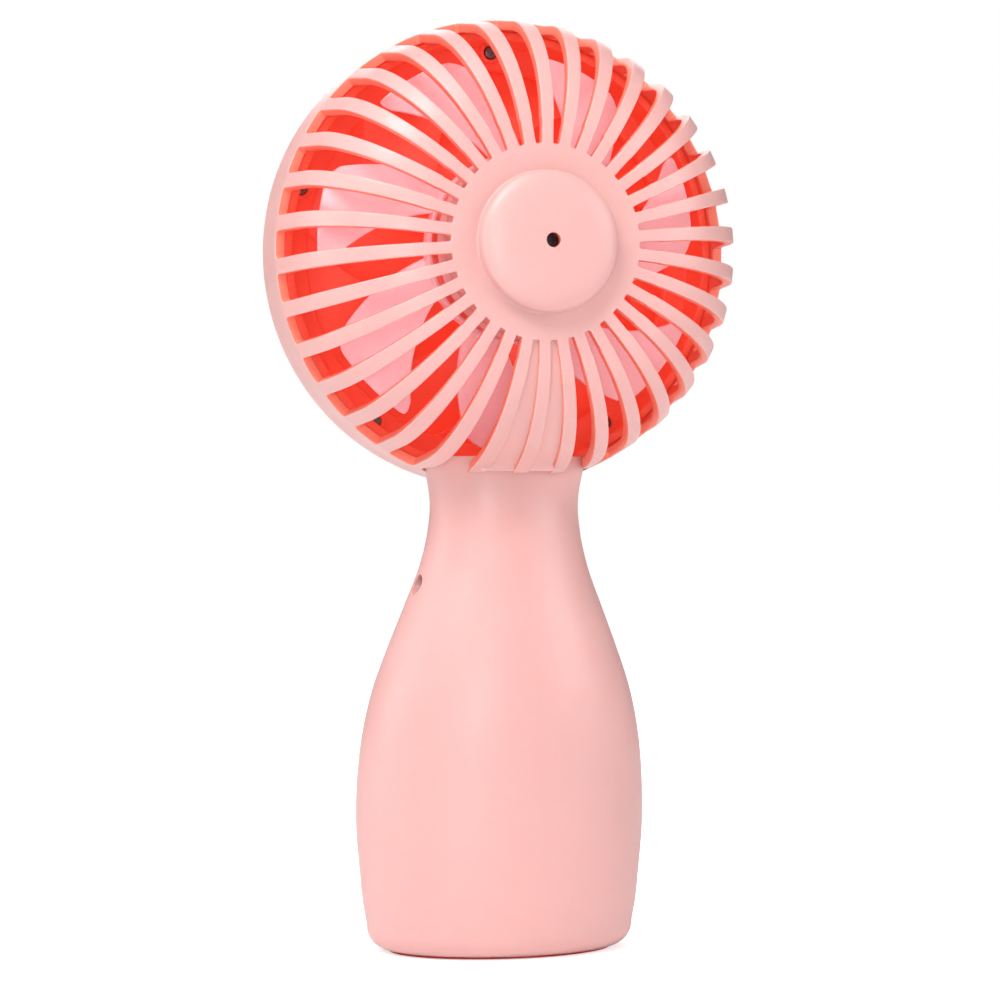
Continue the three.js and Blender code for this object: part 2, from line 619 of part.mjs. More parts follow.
// Cradle behind the cell, with rails that carry the board, arms up to the stem and posts for the base screws.
function innerFrame() {
  const cradleInner = CELL_RADIUS + 0.35;
  const cradleOuter = cradleInner + 1.7;
  const cradle = bentBox(12, 1, 1, (u, v, w) => {
    const angle = radians(lerp(0, 180, u));
    const radius = lerp(cradleInner, cradleOuter, v);
    return new THREE.Vector3(radius * Math.cos(angle), CELL_Y + radius * Math.sin(angle), lerp(6, 54, w));
  });
  const pieces = [cradle];
  for (const side of [-1, 1]) {
    const span = (from, to) => [Math.min(side * from, side * to), Math.max(side * from, side * to)];
    const slab = ([left, right], ys, zs) => box([left, ys[0], zs[0]], [right, ys[1], zs[1]]);
    pieces.push(
      slab(span(cradleInner, cradleOuter), [-9.1, CELL_Y + 0.5], [6, 54]), // side rail
      slab(span(6.2, cradleOuter), [-9.1, -7.9], [9, 51]), // board ledge
      slab(span(cradleOuter - 0.4, BASE_SCREW_X), [-1.2, 1.2], [6, 12]), // rib to the screw post
      slab(span(9.6, 10.6), [-2.2, -0.2], [52, 72.9]), // arm beside the cell
      slab(span(6.7, 10.6), [-2.2, -0.2], [71.8, 72.9]), // step over the cell
      slab(span(6.7, 8.1), [-2.2, -0.2], [71.8, 80.4]), // arm beside the stem
      rodZ(2.4, 3.9, 12, SMALL, side * BASE_SCREW_X),
    );
  }
  const pilots = [];
  for (const side of [-1, 1]) {
    pilots.push(rodZ(1.2, 2, 10.2, SMALL, side * BASE_SCREW_X));
    pilots.push(rodX(0.75, side * 6, side * 9, SMALL, STEM_SCREW.y, STEM_SCREW.z));
  }
  return cut(join(pieces), pilots);
}

const neckScrew = (side) => join([
  rodX(1.1, side * 8.2, side * 8.8, SMALL, STEM_SCREW.y, STEM_SCREW.z),
  rodX(0.6, side * 3.8, side * 8.4, SMALL, STEM_SCREW.y, STEM_SCREW.z),
]);

const batteryCell = () => turnedZ([
  [0, CELL_BOTTOM], [CELL_RADIUS - 0.5, CELL_BOTTOM], [CELL_RADIUS, CELL_BOTTOM + 0.5],
  [CELL_RADIUS, CELL_TOP - 0.5], [CELL_RADIUS - 0.5, CELL_TOP], [3.2, CELL_TOP], [3.2, CELL_TOP + 0.6],
  [0, CELL_TOP + 0.6],
], MEDIUM, 0, CELL_Y);

function usbSocket() {
  const rear = BOARD_FRONT - 0.1;
  const shell = cut(
    box([-4.5, -17, USB_Z - 1.6], [4.5, rear, USB_Z + 1.6]),
    [box([-4.2, -18, USB_Z - 1.3], [4.2, -12.4, USB_Z + 1.3])],
  );
  return join([shell, box([-3.3, -16.4, USB_Z - 0.35], [3.3, -12, USB_Z + 0.35])]);
}

const switchHousing = () => cut(
  box([-3, -14.1, BUTTON_Z - 3], [3, BOARD_FRONT - 0.1, BUTTON_Z + 3]),
  [rodY(2, -15, -12.5, SMALL, 0, BUTTON_Z)],
);

function powerButton() {
  const flangeFront = -14;
  const flangeRear = -13.3;
  const cap = turnedY([
    [0, BUTTON_FACE], [3.6, BUTTON_FACE + 0.15], [5, BUTTON_FACE + 0.7], [BUTTON_RADIUS, BUTTON_FACE + 1.3],
    [BUTTON_RADIUS, flangeFront], [6.8, flangeFront], [6.8, flangeRear], [4.9, flangeRear], [4.9, -16.7],
    [1.5, -16.7], [1.5, -15.5], [0, -15.5],
  ], MEDIUM);
  return cap.translate([0, 0, BUTTON_Z]);
}

const buttonBezel = () => turnedY([
  [6.1, BEZEL_SEAT - 0.2], [6.1, -18], [6.5, -18.3], [7.1, -18.3], [BEZEL_RING, -17.8],
  [BEZEL_RING, BEZEL_SEAT - 0.2], [6.1, BEZEL_SEAT - 0.2],
], MEDIUM).translate([0, 0, BUTTON_Z]);

const indicatorLens = () => rodY(LENS_RADIUS, -18.5, -12.7, SMALL, 0, LENS_Z);

// A motor wire: from the motor's back, under the guard's web, down the neck and over the cell to the board.
const motorWire = (side) => wire([
  [side * 5.6, 24.3, 120], [side * 3.6, 24.3, 116.1], [side * 2, 23.4, 112.1], [side * 1.5, 21.6, 108],
  [side * 1.4, 19.6, 101.5], [side * 1.4, 17.8, 96], [side * 1.3, 15.4, 92.3], [side * 1.3, 12, 90],
  [side * 1.3, 8.8, 88.9], [side * 1.3, 7.2, 85.3], [side * 1.5, 6.2, 79], [side * 2.2, 2.8, 74.4],
  [side * 3.4, -4.6, 73], [side * 3.8, -6.6, 70.6], [side * 3.6, -7, 66], [side * 2.6, -8.5, 58],
  [side * 2.5, -8.5, 50],
]);

const UPPER_CELL_WIRE = [[5.6, -4.6, 71.5], [6.2, -5.8, 68], [6, -7.6, 60], [5.2, -8.5, 50]];
const LOWER_CELL_WIRE = [[-5, -6.4, 4.9], [-5.2, -8, 6.4], [-5.2, -8.5, 10], [-5.2, -8.5, 15]];

function handlePieces() {
  return [
    node('handle_sleeve', handleSleeve(), PINK),
    node('base_plate', basePlate(), CORAL),
    node('base_screw_1', baseScrew(-BASE_SCREW_X), DARK_STEEL),
    node('base_screw_2', baseScrew(BASE_SCREW_X), DARK_STEEL),
    node('inner_frame', innerFrame(), WHITE),
    node('neck_screw_1', neckScrew(-1), DARK_STEEL),
    node('neck_screw_2', neckScrew(1), DARK_STEEL),
    node('battery_cell', batteryCell(), CELL_BLUE),
    node('battery_tab_top', box([-2.4, -5.6, 71.3], [2.4, 3.8, 71.7]), NICKEL),
    node('battery_tab_bottom', box([-2.4, -6.4, 4.7], [2.4, 4.2, 5.1]), NICKEL),
    node('circuit_board', box([-8, BOARD_FRONT, 8], [8, BOARD_REAR, 52]), BOARD_GREEN),
    node('control_chip', box([-3, -12.2, 20], [3, BOARD_FRONT - 0.1, 25]), BLACK),
    node('inductor', rodY(2.6, -13.4, BOARD_FRONT - 0.1, SMALL, -4.6, 32.5), FERRITE),
    node('usb_socket', usbSocket(), NICKEL),
    node('charge_led', box([-1.2, -12, LENS_Z - 0.8], [1.2, BOARD_FRONT - 0.1, LENS_Z + 0.8]), CLEAR),
    node('indicator_lens', indicatorLens(), CLEAR),
    node('switch_housing', switchHousing(), BLACK),
    node('switch_plunger', rodY(1.6, -15.2, -13.3, SMALL, 0, BUTTON_Z), BLACK),
    node('power_button', powerButton(), CORAL),
    node('button_bezel', buttonBezel(), PINK),
    node('motor_wire_red', motorWire(1), RED_WIRE),
    node('motor_wire_black', motorWire(-1), BLACK),
    node('battery_wire_red', wire(UPPER_CELL_WIRE), RED_WIRE),
    node('battery_wire_black', wire(LOWER_CELL_WIRE), BLACK),
  ];
}

const fan = new THREE.Group();
fan.add(headPieces(), ...handlePieces());
export default fan;
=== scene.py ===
"""Looks of a handheld electric fan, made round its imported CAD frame.

Shapes are written in millimetres and scaled to metres when their mesh is made. Angles on the head go
round the fan axis, which is parallel to Y, in degrees from +X towards +Z.
"""

import math

import bmesh
import bpy
import numpy as np
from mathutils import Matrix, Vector


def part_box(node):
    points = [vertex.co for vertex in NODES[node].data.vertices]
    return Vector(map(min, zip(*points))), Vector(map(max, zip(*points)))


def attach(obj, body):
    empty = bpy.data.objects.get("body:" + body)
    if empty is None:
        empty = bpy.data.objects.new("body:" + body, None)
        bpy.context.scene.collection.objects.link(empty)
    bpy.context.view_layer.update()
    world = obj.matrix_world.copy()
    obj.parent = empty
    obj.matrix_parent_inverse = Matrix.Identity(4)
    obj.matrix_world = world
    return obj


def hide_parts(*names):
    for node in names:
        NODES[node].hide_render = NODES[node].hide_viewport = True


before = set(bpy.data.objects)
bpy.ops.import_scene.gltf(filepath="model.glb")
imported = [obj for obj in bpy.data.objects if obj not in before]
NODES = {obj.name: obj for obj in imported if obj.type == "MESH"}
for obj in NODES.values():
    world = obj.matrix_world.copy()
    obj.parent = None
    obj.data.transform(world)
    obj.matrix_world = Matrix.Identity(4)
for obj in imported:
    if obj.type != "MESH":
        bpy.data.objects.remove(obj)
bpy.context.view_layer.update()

MM = 0.001


WHITE = (1, 1, 1, 1)


def set_inputs(node, values):
    for socket, value in values.items():
        node.inputs[socket].default_value = value


def add_node(tree, kind, values={}, links={}, **settings):
    """A shader node with its settings, its sockets' values, and the outputs linked to its sockets."""
    node = tree.nodes.new("ShaderNode" + kind)
    for key, value in settings.items():
        setattr(node, key, value)
    set_inputs(node, values)
    for socket, output in links.items():
        tree.links.new(output, node.inputs[socket])
    return node


def add_object(name, data):
    obj = bpy.data.objects.new(name, data)
    bpy.context.scene.collection.objects.link(obj)
    return obj


# ---- Camera, light and floor ----

CAMERA_AZIMUTH = 163.37
CAMERA_DISTANCE = 0.552
CAMERA_HEIGHT = 0.0825
CAMERA_PITCH = -0.02
LENS_MM = 108
SENSOR_MM = 36

AMBIENT = 0.24
SUN_POWER = 1.1
SUN_SPREAD = 60
SUN_FROM = (120, 62)
LIGHT_AIM = Vector((0, 0, 0.09))
AREA_LIGHTS = {  # azimuth, elevation, distance, size, power
    "key": (135, 47, 0.75, 0.36, 3.6),
    "camera_fill": (163, 4, 0.95, 0.3, 1.9),
    "left_fill": (82, 12, 0.8, 0.5, 1.2),
    "right_fill": (232, 18, 0.8, 0.5, 2.0),
    "front_fill": (345, 30, 0.8, 0.5, 1.6),
}
FLOOR_HALF = 6.0
FLOOR_DROP = 0.00005  # keeps the floor just clear of the base
FLOOR_ALBEDO = 0.93
FLOOR_LIFT = 0.56  # emission that only the camera sees, so the floor looks white


def direction(azimuth, elevation):
    """Unit vector from the object towards a viewer; azimuth 0 is at -Y and 90 at +X."""
    a, e = math.radians(azimuth), math.radians(elevation)
    return Vector((math.sin(a) * math.cos(e), -math.cos(a) * math.cos(e), math.sin(e)))


def turn_to(obj, axis, towards):
    """Turns an object so that its own axis points towards a direction."""
    obj.rotation_mode = "QUATERNION"
    obj.rotation_quaternion = towards.to_track_quat(axis, "Y")


def make_camera():
    data = bpy.data.cameras.new("camera")
    data.lens, data.sensor_width = LENS_MM, SENSOR_MM
    camera = add_object("camera", data)
    camera.location = direction(CAMERA_AZIMUTH, 0) * CAMERA_DISTANCE + Vector((0, 0, CAMERA_HEIGHT))
    turn_to(camera, "-Z", -direction(CAMERA_AZIMUTH, -CAMERA_PITCH))
    bpy.context.scene.camera = camera


def make_world():
    """Even ambient light, with a white backdrop that only the camera sees."""
    world = bpy.data.worlds.new("studio")
    bpy.context.scene.world = world
    world.use_nodes = True
    tree = world.node_tree
    ambient = tree.nodes["Background"]
    set_inputs(ambient, {"Color": WHITE, "Strength": AMBIENT})
    backdrop = add_node(tree, "Background", {"Color": WHITE, "Strength": 1.0})
    seen = add_node(tree, "LightPath").outputs["Is Camera Ray"]
    mix = add_node(tree, "MixShader", links={"Fac": seen, 1: ambient.outputs[0], 2: backdrop.outputs[0]})
    tree.links.new(mix.outputs[0], tree.nodes["World Output"].inputs["Surface"])


def make_lights():
    sun = bpy.data.lights.new("overhead", "SUN")
    sun.energy, sun.angle = SUN_POWER, math.radians(SUN_SPREAD)
    turn_to(add_object("overhead", sun), "Z", direction(*SUN_FROM))
    for name, (azimuth, elevation, distance, size, power) in AREA_LIGHTS.items():
        data = bpy.data.lights.new(name, "AREA")
        data.shape, data.size, data.energy = "DISK", size, power
        light = add_object(name, data)
        away = direction(azimuth, elevation)
        light.location = away * distance + LIGHT_AIM
        turn_to(light, "Z", away)


def make_floor():
    mesh = bpy.data.meshes.new("floor")
    corners = [(-FLOOR_HALF, -FLOOR_HALF, 0), (FLOOR_HALF, -FLOOR_HALF, 0),
               (FLOOR_HALF, FLOOR_HALF, 0), (-FLOOR_HALF, FLOOR_HALF, 0)]
    mesh.from_pydata(corners, [], [(0, 1, 2, 3)])
    floor = add_object("floor", mesh)
    floor.location.z = -FLOOR_DROP
    material = bpy.data.materials.new("floor")
    material.use_nodes = True
    tree = material.node_tree
    paint = tree.nodes["Principled BSDF"]
    set_inputs(paint, {
        "Base Color": (FLOOR_ALBEDO, FLOOR_ALBEDO, FLOOR_ALBEDO, 1), "Roughness": 1.0,
        "Specular IOR Level": 0.0, "Emission Color": WHITE})
    seen = add_node(tree, "LightPath").outputs["Is Camera Ray"]
    lift = add_node(tree, "Math", {1: FLOOR_LIFT}, {0: seen}, operation="MULTIPLY")
    tree.links.new(lift.outputs[0], paint.inputs["Emission Strength"])
    mesh.materials.append(material)


def make_stage():
    bpy.context.scene.view_settings.view_transform = "Standard"
    make_world()
    make_lights()
    make_floor()


# ---- Materials ----

MIX_FACTOR, MIX_FIRST, MIX_SECOND, MIX_RESULT = 0, 6, 7, 2  # a Mix node's sockets for colours
NOISE_LOW, NOISE_HIGH = 0.3, 0.7  # where most of a noise's values lie
MOTTLE, MOTTLE_SCALE = 0.03, 38
GLOSS_SPREAD = 0.045
GRAIN_DEPTH = 0.00006
MARK_DEPTH = 0.00004
WIRE_DEPTH = 0.00015
SCATTER_RADIUS = (1.0, 0.25, 0.2)
SCATTER_SCALE = 0.0025
BOUNCE_PAINT_FROM, BOUNCE_PAINT_TO = 0.5, 0.1  # how far a slot's wall faces out, where the painted coral bounce starts and is full


def noise(tree, where, scale, detail):
    return add_node(tree, "TexNoise", {"Scale": scale, "Detail": detail}, {"Vector": where}).outputs["Fac"]


def spread(tree, value, low, high):
    """Maps a noise's middle range onto low to high."""
    limits = {"From Min": NOISE_LOW, "From Max": NOISE_HIGH, "To Min": low, "To Max": high}
    return add_node(tree, "MapRange", limits, {"Value": value}).outputs["Result"]


def mix_colours(tree, factor, first, second):
    colours = {MIX_FIRST: (*first, 1), MIX_SECOND: (*second, 1)}
    return add_node(tree, "Mix", colours, {MIX_FACTOR: factor}, data_type="RGBA").outputs[MIX_RESULT]


def start_material(name):
    material = bpy.data.materials.new(name)
    material.use_nodes = True
    tree = material.node_tree
    return material, tree, tree.nodes["Principled BSDF"], add_node(tree, "TexCoord").outputs["Object"]


def finish_surface(tree, shader, colour, roughness, height, strength, depth):
    """Links a material's colour, roughness and relief."""
    bump = add_node(tree, "Bump", {"Strength": strength, "Distance": depth}, {"Height": height})
    tree.links.new(colour, shader.inputs["Base Color"])
    tree.links.new(roughness, shader.inputs["Roughness"])
    tree.links.new(bump.outputs["Normal"], shader.inputs["Normal"])


def tone(colour, factor):
    return tuple(min(1.0, c * factor) for c in colour)


def plastic(name, colour, roughness, grain=1400, relief=0.12, scatter=0.0, painted_glow=0.0):
    """Moulded plastic: faint flow mottling in the colour, a fine texture in the gloss and relief. scatter
    lets light spread inside the plastic. The last argument is painted light: an emission in the plastic's own
    colour that stands in for light coming through it from the far side."""
    material, tree, shader, where = start_material(name)
    broad = spread(tree, noise(tree, where, MOTTLE_SCALE, 3), 0, 1)
    colours = mix_colours(tree, broad, tone(colour, 1 - MOTTLE), tone(colour, 1 + MOTTLE))
    gloss = spread(tree, noise(tree, where, grain / 9, 3), roughness - GLOSS_SPREAD, roughness + GLOSS_SPREAD)
    finish_surface(tree, shader, colours, gloss, noise(tree, where, grain, 2), relief, GRAIN_DEPTH)
    # painted light: an emission in the plastic's own colour, as if lit through from the far side
    if painted_glow:
        set_inputs(shader, {"Emission Color": (*colour, 1), "Emission Strength": painted_glow})
    if scatter:
        set_inputs(shader, {
            "Subsurface Weight": scatter, "Subsurface Radius": SCATTER_RADIUS,
            "Subsurface Scale": SCATTER_SCALE})
    return material


def guard_plastic(name, colour, painted_bounce):
    """The shell's pink, with painted coral bounce light on the slots' walls and the other faces that don't
    point out from the dome's middle, standing in for the coral light they pick up from inside.
    """
    material = plastic(name, colour, 0.38, scatter=0.35)
    tree = material.node_tree
    base = tree.nodes["Principled BSDF"].inputs["Base Color"]
    where = add_node(tree, "TexCoord").outputs
    dome = (0, SHOULDER[1] * MM, HEAD_Z * MM)
    away = add_node(tree, "VectorMath", {1: dome}, {0: where["Object"]}, operation="SUBTRACT")
    unit = add_node(tree, "VectorMath", links={0: away.outputs[0]}, operation="NORMALIZE")
    facing = add_node(
        tree, "VectorMath", links={0: unit.outputs[0], 1: where["Normal"]}, operation="DOT_PRODUCT")
    # share of the painted coral bounce: full on faces that point across or back towards the dome's middle,
    # none on faces that point out from it
    inward = add_node(
        tree, "MapRange", {"From Min": BOUNCE_PAINT_FROM, "From Max": BOUNCE_PAINT_TO}, {"Value": facing.outputs["Value"]})
    mix = add_node(
        tree, "Mix", {MIX_SECOND: (*painted_bounce, 1)},
        {MIX_FACTOR: inward.outputs["Result"], MIX_FIRST: base.links[0].from_socket}, data_type="RGBA")
    tree.links.new(mix.outputs[MIX_RESULT], base)
    return material


def metal(name, colour, roughness, stretch=(1, 1, 1), grain=900, relief=0.1):
    """Metal with fine machining marks, drawn out along the axes where stretch is small."""
    material, tree, shader, where = start_material(name)
    mapping = add_node(tree, "Mapping", {"Scale": stretch}, {"Vector": where})
    marks = noise(tree, mapping.outputs["Vector"], grain, 4)
    stains = spread(tree, noise(tree, where, 120, 3), 0, 1)
    colours = mix_colours(tree, stains, tone(colour, 0.9), tone(colour, 1.08))
    gloss = spread(tree, marks, roughness * 0.75, roughness * 1.25)
    finish_surface(tree, shader, colours, gloss, marks, relief, MARK_DEPTH)
    set_inputs(shader, {"Metallic": 1.0})
    return material


def board_material():
    """Green solder mask with the copper tracks raised faintly under it."""
    material, tree, shader, where = start_material("board")
    tracks = add_node(tree, "TexBrick", {"Scale": 260, "Mortar Size": 0.06}, {"Vector": where}).outputs["Fac"]
    colours = mix_colours(tree, tracks, (0.012, 0.13, 0.045), (0.03, 0.25, 0.09))
    gloss = spread(tree, noise(tree, where, 700, 2), 0.28, 0.4)
    finish_surface(tree, shader, colours, gloss, tracks, 0.25, GRAIN_DEPTH)
    return material


def winding_material():
    """Turns of enamelled copper wire."""
    material, tree, shader, where = start_material("copper_winding")
    turns = add_node(tree, "TexWave", {"Scale": 900, "Distortion": 0.6}, {"Vector": where}).outputs["Fac"]
    colours = mix_colours(tree, turns, (0.25, 0.06, 0.02), (0.62, 0.2, 0.08))
    gloss = spread(tree, noise(tree, where, 500, 2), 0.24, 0.38)
    finish_surface(tree, shader, colours, gloss, turns, 0.6, WIRE_DEPTH)
    set_inputs(shader, {"Metallic": 1.0})
    return material


PINK = (0.71, 0.39, 0.37)
CORAL = (0.86, 0.087, 0.045)


def make_materials():
    return {
        "pink_shell": plastic("pink_shell", PINK, 0.38, scatter=0.35),
        # the guard's pink, with painted coral bounce light on its slots' walls
        "guard_pink_painted_bounce": guard_plastic("guard_pink_painted_bounce", PINK, (0.95, 0.25, 0.17)),
        # painted light: the blades and the coral give off light in their own colour
        "pink_blades": plastic("pink_blades", (0.93, 0.49, 0.53), 0.3, relief=0.05, scatter=0.5, painted_glow=0.1),
        "coral": plastic("coral", CORAL, 0.4, scatter=0.4, painted_glow=0.2),
        # a darker copy of the coral: painted shade for the parts seen in shadow, the motor cup deep in the
        # hub and the foot plate under the handle
        "coral_dark": plastic("coral_dark", (0.72, 0.04, 0.025), 0.42),
        "steel": metal("steel", (0.56, 0.57, 0.58), 0.3, stretch=(1, 0.08, 1)),
        "white_nylon": plastic("white_nylon", (0.8, 0.79, 0.75), 0.5, relief=0.2),
        "bronze": metal("bronze", (0.42, 0.24, 0.11), 0.4, grain=2200, relief=0.3),
        "ferrite": plastic("ferrite", (0.045, 0.045, 0.05), 0.62, grain=2600, relief=0.5),
        "core_steel": metal("core_steel", (0.27, 0.27, 0.29), 0.42, stretch=(0.1, 4, 0.1)),
        "copper": metal("copper", (0.56, 0.2, 0.09), 0.28),
        "copper_winding": winding_material(),
        # a darker copy of the screw steel: painted shade for the screw down in the boss's hole
        "dark_screw": metal("dark_screw", (0.05, 0.035, 0.035), 0.5, grain=1800),
        "screw_steel": metal("screw_steel", (0.2, 0.2, 0.215), 0.34, grain=1800),
        "cell_wrap": plastic("cell_wrap", (0.02, 0.13, 0.42), 0.26, relief=0.04, grain=500),
        "nickel": metal("nickel", (0.66, 0.65, 0.61), 0.24, stretch=(1, 1, 0.1)),
        "board": board_material(),
        "black_plastic": plastic("black_plastic", (0.016, 0.016, 0.018), 0.42, relief=0.25),
        "clear_plastic": plastic("clear_plastic", (0.86, 0.86, 0.83), 0.22, relief=0.04, scatter=0.4),
        "wire_red": plastic("wire_red", (0.5, 0.018, 0.014), 0.38),
        "wire_black": plastic("wire_black", (0.018, 0.018, 0.02), 0.38),
    }


# ---- Mesh tools ----

MERGE = 2e-6
SHARP = math.radians(34)


def box_mm(node):
    low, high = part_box(node)
    return [c / MM for c in low], [c / MM for c in high]


def mark_sharp(bm):
    for e in bm.edges:
        e.smooth = not (e.is_manifold and e.calc_face_angle(0) > SHARP)


def mesh_mm(name, verts, faces):
    """A mesh, and a bmesh to finish it with, from vertices in millimetres."""
    mesh = bpy.data.meshes.new(name)
    mesh.from_pydata([tuple(c * MM for c in v) for v in verts], [], faces)
    bm = bmesh.new()
    bm.from_mesh(mesh)
    bmesh.ops.remove_doubles(bm, verts=bm.verts, dist=MERGE)
    return mesh, bm


def make(name, verts, faces, node, slot, material=None, body="body"):
    """A piece that stands for a CAD node. Its material has the slot's name unless another is given."""
    mesh, bm = mesh_mm(name, verts, faces)
    bmesh.ops.dissolve_degenerate(bm, edges=bm.edges, dist=1e-7)
    bmesh.ops.recalc_face_normals(bm, faces=bm.faces)
    if bm.calc_volume(signed=True) < 0:
        bmesh.ops.reverse_faces(bm, faces=bm.faces)
    for f in bm.faces:
        f.smooth = True
    mark_sharp(bm)
    bm.to_mesh(mesh)
    bm.free()
    piece = add_object(name, mesh)
    mesh.materials.append(MATERIALS[material or slot])
    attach(piece, body)
    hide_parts(node)
    return piece


def grid_faces(rows, columns, wrap_rows=False, wrap_columns=False):
    faces = []
    for i in range(rows if wrap_rows else rows - 1):
        for j in range(columns if wrap_columns else columns - 1):
            i2, j2 = (i + 1) % rows, (j + 1) % columns
            faces.append((i * columns + j, i * columns + j2, i2 * columns + j2, i2 * columns + j))
    return faces


def polar(r, degrees):
    a = math.radians(degrees)
    return r * math.cos(a), r * math.sin(a)


def bar_faces(rows, count):
    """Faces of a closed bar whose cross-sections are rows of count vertices."""
    ends = [tuple(range(count)), tuple(reversed(range((rows - 1) * count, rows * count)))]
    return grid_faces(rows, count, wrap_columns=True) + ends


def around_head(r, degrees, y):
    a, b = polar(r, degrees)
    return (a, y, HEAD_Z + b)


def along_y(x, z):
    """Place for a piece turned about an axis parallel to Y."""

    def place(r, degrees, t):
        a, b = polar(r, degrees)
        return (x + a, t, z + b)

    return place


def along_z(x, depth=1.0):
    """Place for a piece turned about an upright axis, its section drawn in along Y by depth."""

    def place(r, degrees, t):
        a, b = polar(r, degrees)
        return (x + a, depth * b, t)

    return place


def turned(profile, sides, place=around_head, closed=True):
    """Vertices and faces of a turned piece. A profile that isn't closed starts and ends on the axis."""
    verts = [place(r, 360 * j / sides, t) for r, t in profile for j in range(sides)]
    return verts, grid_faces(len(profile), sides, wrap_rows=closed, wrap_columns=True)


def rounded(corners, steps=4, closed=True):
    """Outline through corners (a, b, radius), each rounded to its radius."""
    outline = []
    count = len(corners)
    for i, (a, b, radius) in enumerate(corners):
        here = np.array((a, b), float)
        if not radius or (not closed and i in (0, count - 1)):
            outline.append((a, b))
            continue
        back = np.array(corners[i - 1][:2], float) - here
        on = np.array(corners[(i + 1) % count][:2], float) - here
        back /= np.linalg.norm(back)
        on /= np.linalg.norm(on)
        half = math.acos(max(-1.0, min(1.0, float(back @ on)))) / 2
        middle = here + (back + on) / np.linalg.norm(back + on) * radius / math.sin(half)
        first = here + back * radius / math.tan(half) - middle
        last = here + on * radius / math.tan(half) - middle
        start = math.atan2(first[1], first[0])
        turn = math.remainder(math.atan2(last[1], last[0]) - start, 2 * math.pi)
        for k in range(steps + 1):
            angle = start + turn * k / steps
            outline.append((middle[0] + radius * math.cos(angle), middle[1] + radius * math.sin(angle)))
    return outline


def lathe(corners, sides, place=around_head, closed=True, steps=4):
    """A turned piece from an outline whose corners are (radius, t, rounding)."""
    return turned(rounded(corners, steps, closed), sides, place, closed)


def arc(cx, cy, radius, start, end, steps):
    """Points from start to end, in degrees, both included."""
    points = [polar(radius, start + (end - start) * k / steps) for k in range(steps + 1)]
    return [(cx + a, cy + b) for a, b in points]


def smoothstep(low, high, value):
    t = max(0.0, min(1.0, (value - low) / (high - low)))
    return t * t * (3 - 2 * t)


def lerp(a, b, t):
    return a + (b - a) * t


def bent_block(across, along, place):
    """A thin curved slab: place(u, w, v) for u and w from 0 to 1 and v 0 on one side, 1 on the other."""
    verts = []
    for v in (0.0, 1.0):
        for i in range(across + 1):
            for k in range(along + 1):
                verts.append(place(i / across, k / along, v))
    layer = (across + 1) * (along + 1)
    top = grid_faces(across + 1, along + 1)
    faces = top + [tuple(layer + n for n in reversed(f)) for f in top]
    edge = list(range(along + 1))
    edge += [i * (along + 1) + along for i in range(1, across + 1)]
    edge += [across * (along + 1) + k for k in range(along - 1, -1, -1)]
    edge += [i * (along + 1) for i in range(across - 1, 0, -1)]
    for a, b in zip(edge, edge[1:] + edge[:1]):
        faces.append((a, b, layer + b, layer + a))
    return verts, faces


def joined(parts):
    verts, faces = [], []
    for v, f in parts:
        faces += [tuple(n + len(verts) for n in face) for face in f]
        verts += v
    return verts, faces


def soften(piece, width, segments=2, angle=40):
    """Rounds a piece's edges and keeps its flat faces flat in the shading."""
    bevel = piece.modifiers.new("edges", "BEVEL")
    bevel.width, bevel.segments = width * MM, segments
    bevel.limit_method, bevel.angle_limit = "ANGLE", math.radians(angle)
    shade = piece.modifiers.new("shading", "WEIGHTED_NORMAL")
    shade.keep_sharp = True


def cutter(verts, faces):
    mesh, bm = mesh_mm("cutter", verts, faces)
    bmesh.ops.recalc_face_normals(bm, faces=bm.faces)
    bm.to_mesh(mesh)
    bm.free()
    return add_object("cutter", mesh)


def carve(piece, tools, solver="EXACT"):
    """Cuts the tools out of a piece, and keeps the smooth shading of what is left."""
    for tool in tools:
        cut = piece.modifiers.new("cut", "BOOLEAN")
        cut.operation, cut.solver, cut.object = "DIFFERENCE", solver, tool
    graph = bpy.context.evaluated_depsgraph_get()
    carved = bpy.data.meshes.new_from_object(piece.evaluated_get(graph))
    piece.modifiers.clear()
    piece.data = carved
    for tool in tools:
        bpy.data.objects.remove(tool)
    bm = bmesh.new()
    bm.from_mesh(carved)
    bmesh.ops.dissolve_degenerate(bm, edges=bm.edges, dist=1e-6)
    mark_sharp(bm)
    bm.to_mesh(carved)
    bm.free()


def block(low, high):
    verts = [(x, y, z) for x in (low[0], high[0]) for y in (low[1], high[1]) for z in (low[2], high[2])]
    faces = [(0, 1, 3, 2), (4, 6, 7, 5), (0, 4, 5, 1), (2, 3, 7, 6), (0, 2, 6, 4), (1, 5, 7, 3)]
    return verts, faces


def rod_y(radius, start, end, z, sides):
    return turned([(0, start), (radius, start), (radius, end), (0, end)], sides, along_y(0, z), closed=False)


# ---- Frame anchors ----

GUARD_LOW, GUARD_HIGH = box_mm("rear_guard")
SHAFT_LOW, SHAFT_HIGH = box_mm("motor_shaft")
SLEEVE_LOW, SLEEVE_HIGH = box_mm("handle_sleeve")
HEAD_Z = (SHAFT_LOW[2] + SHAFT_HIGH[2]) / 2
RIM_RADIUS = GUARD_HIGH[0]
RIM_FRONT = GUARD_LOW[1]
BOSS_Y = GUARD_HIGH[1]

# ---- Rear guard ----

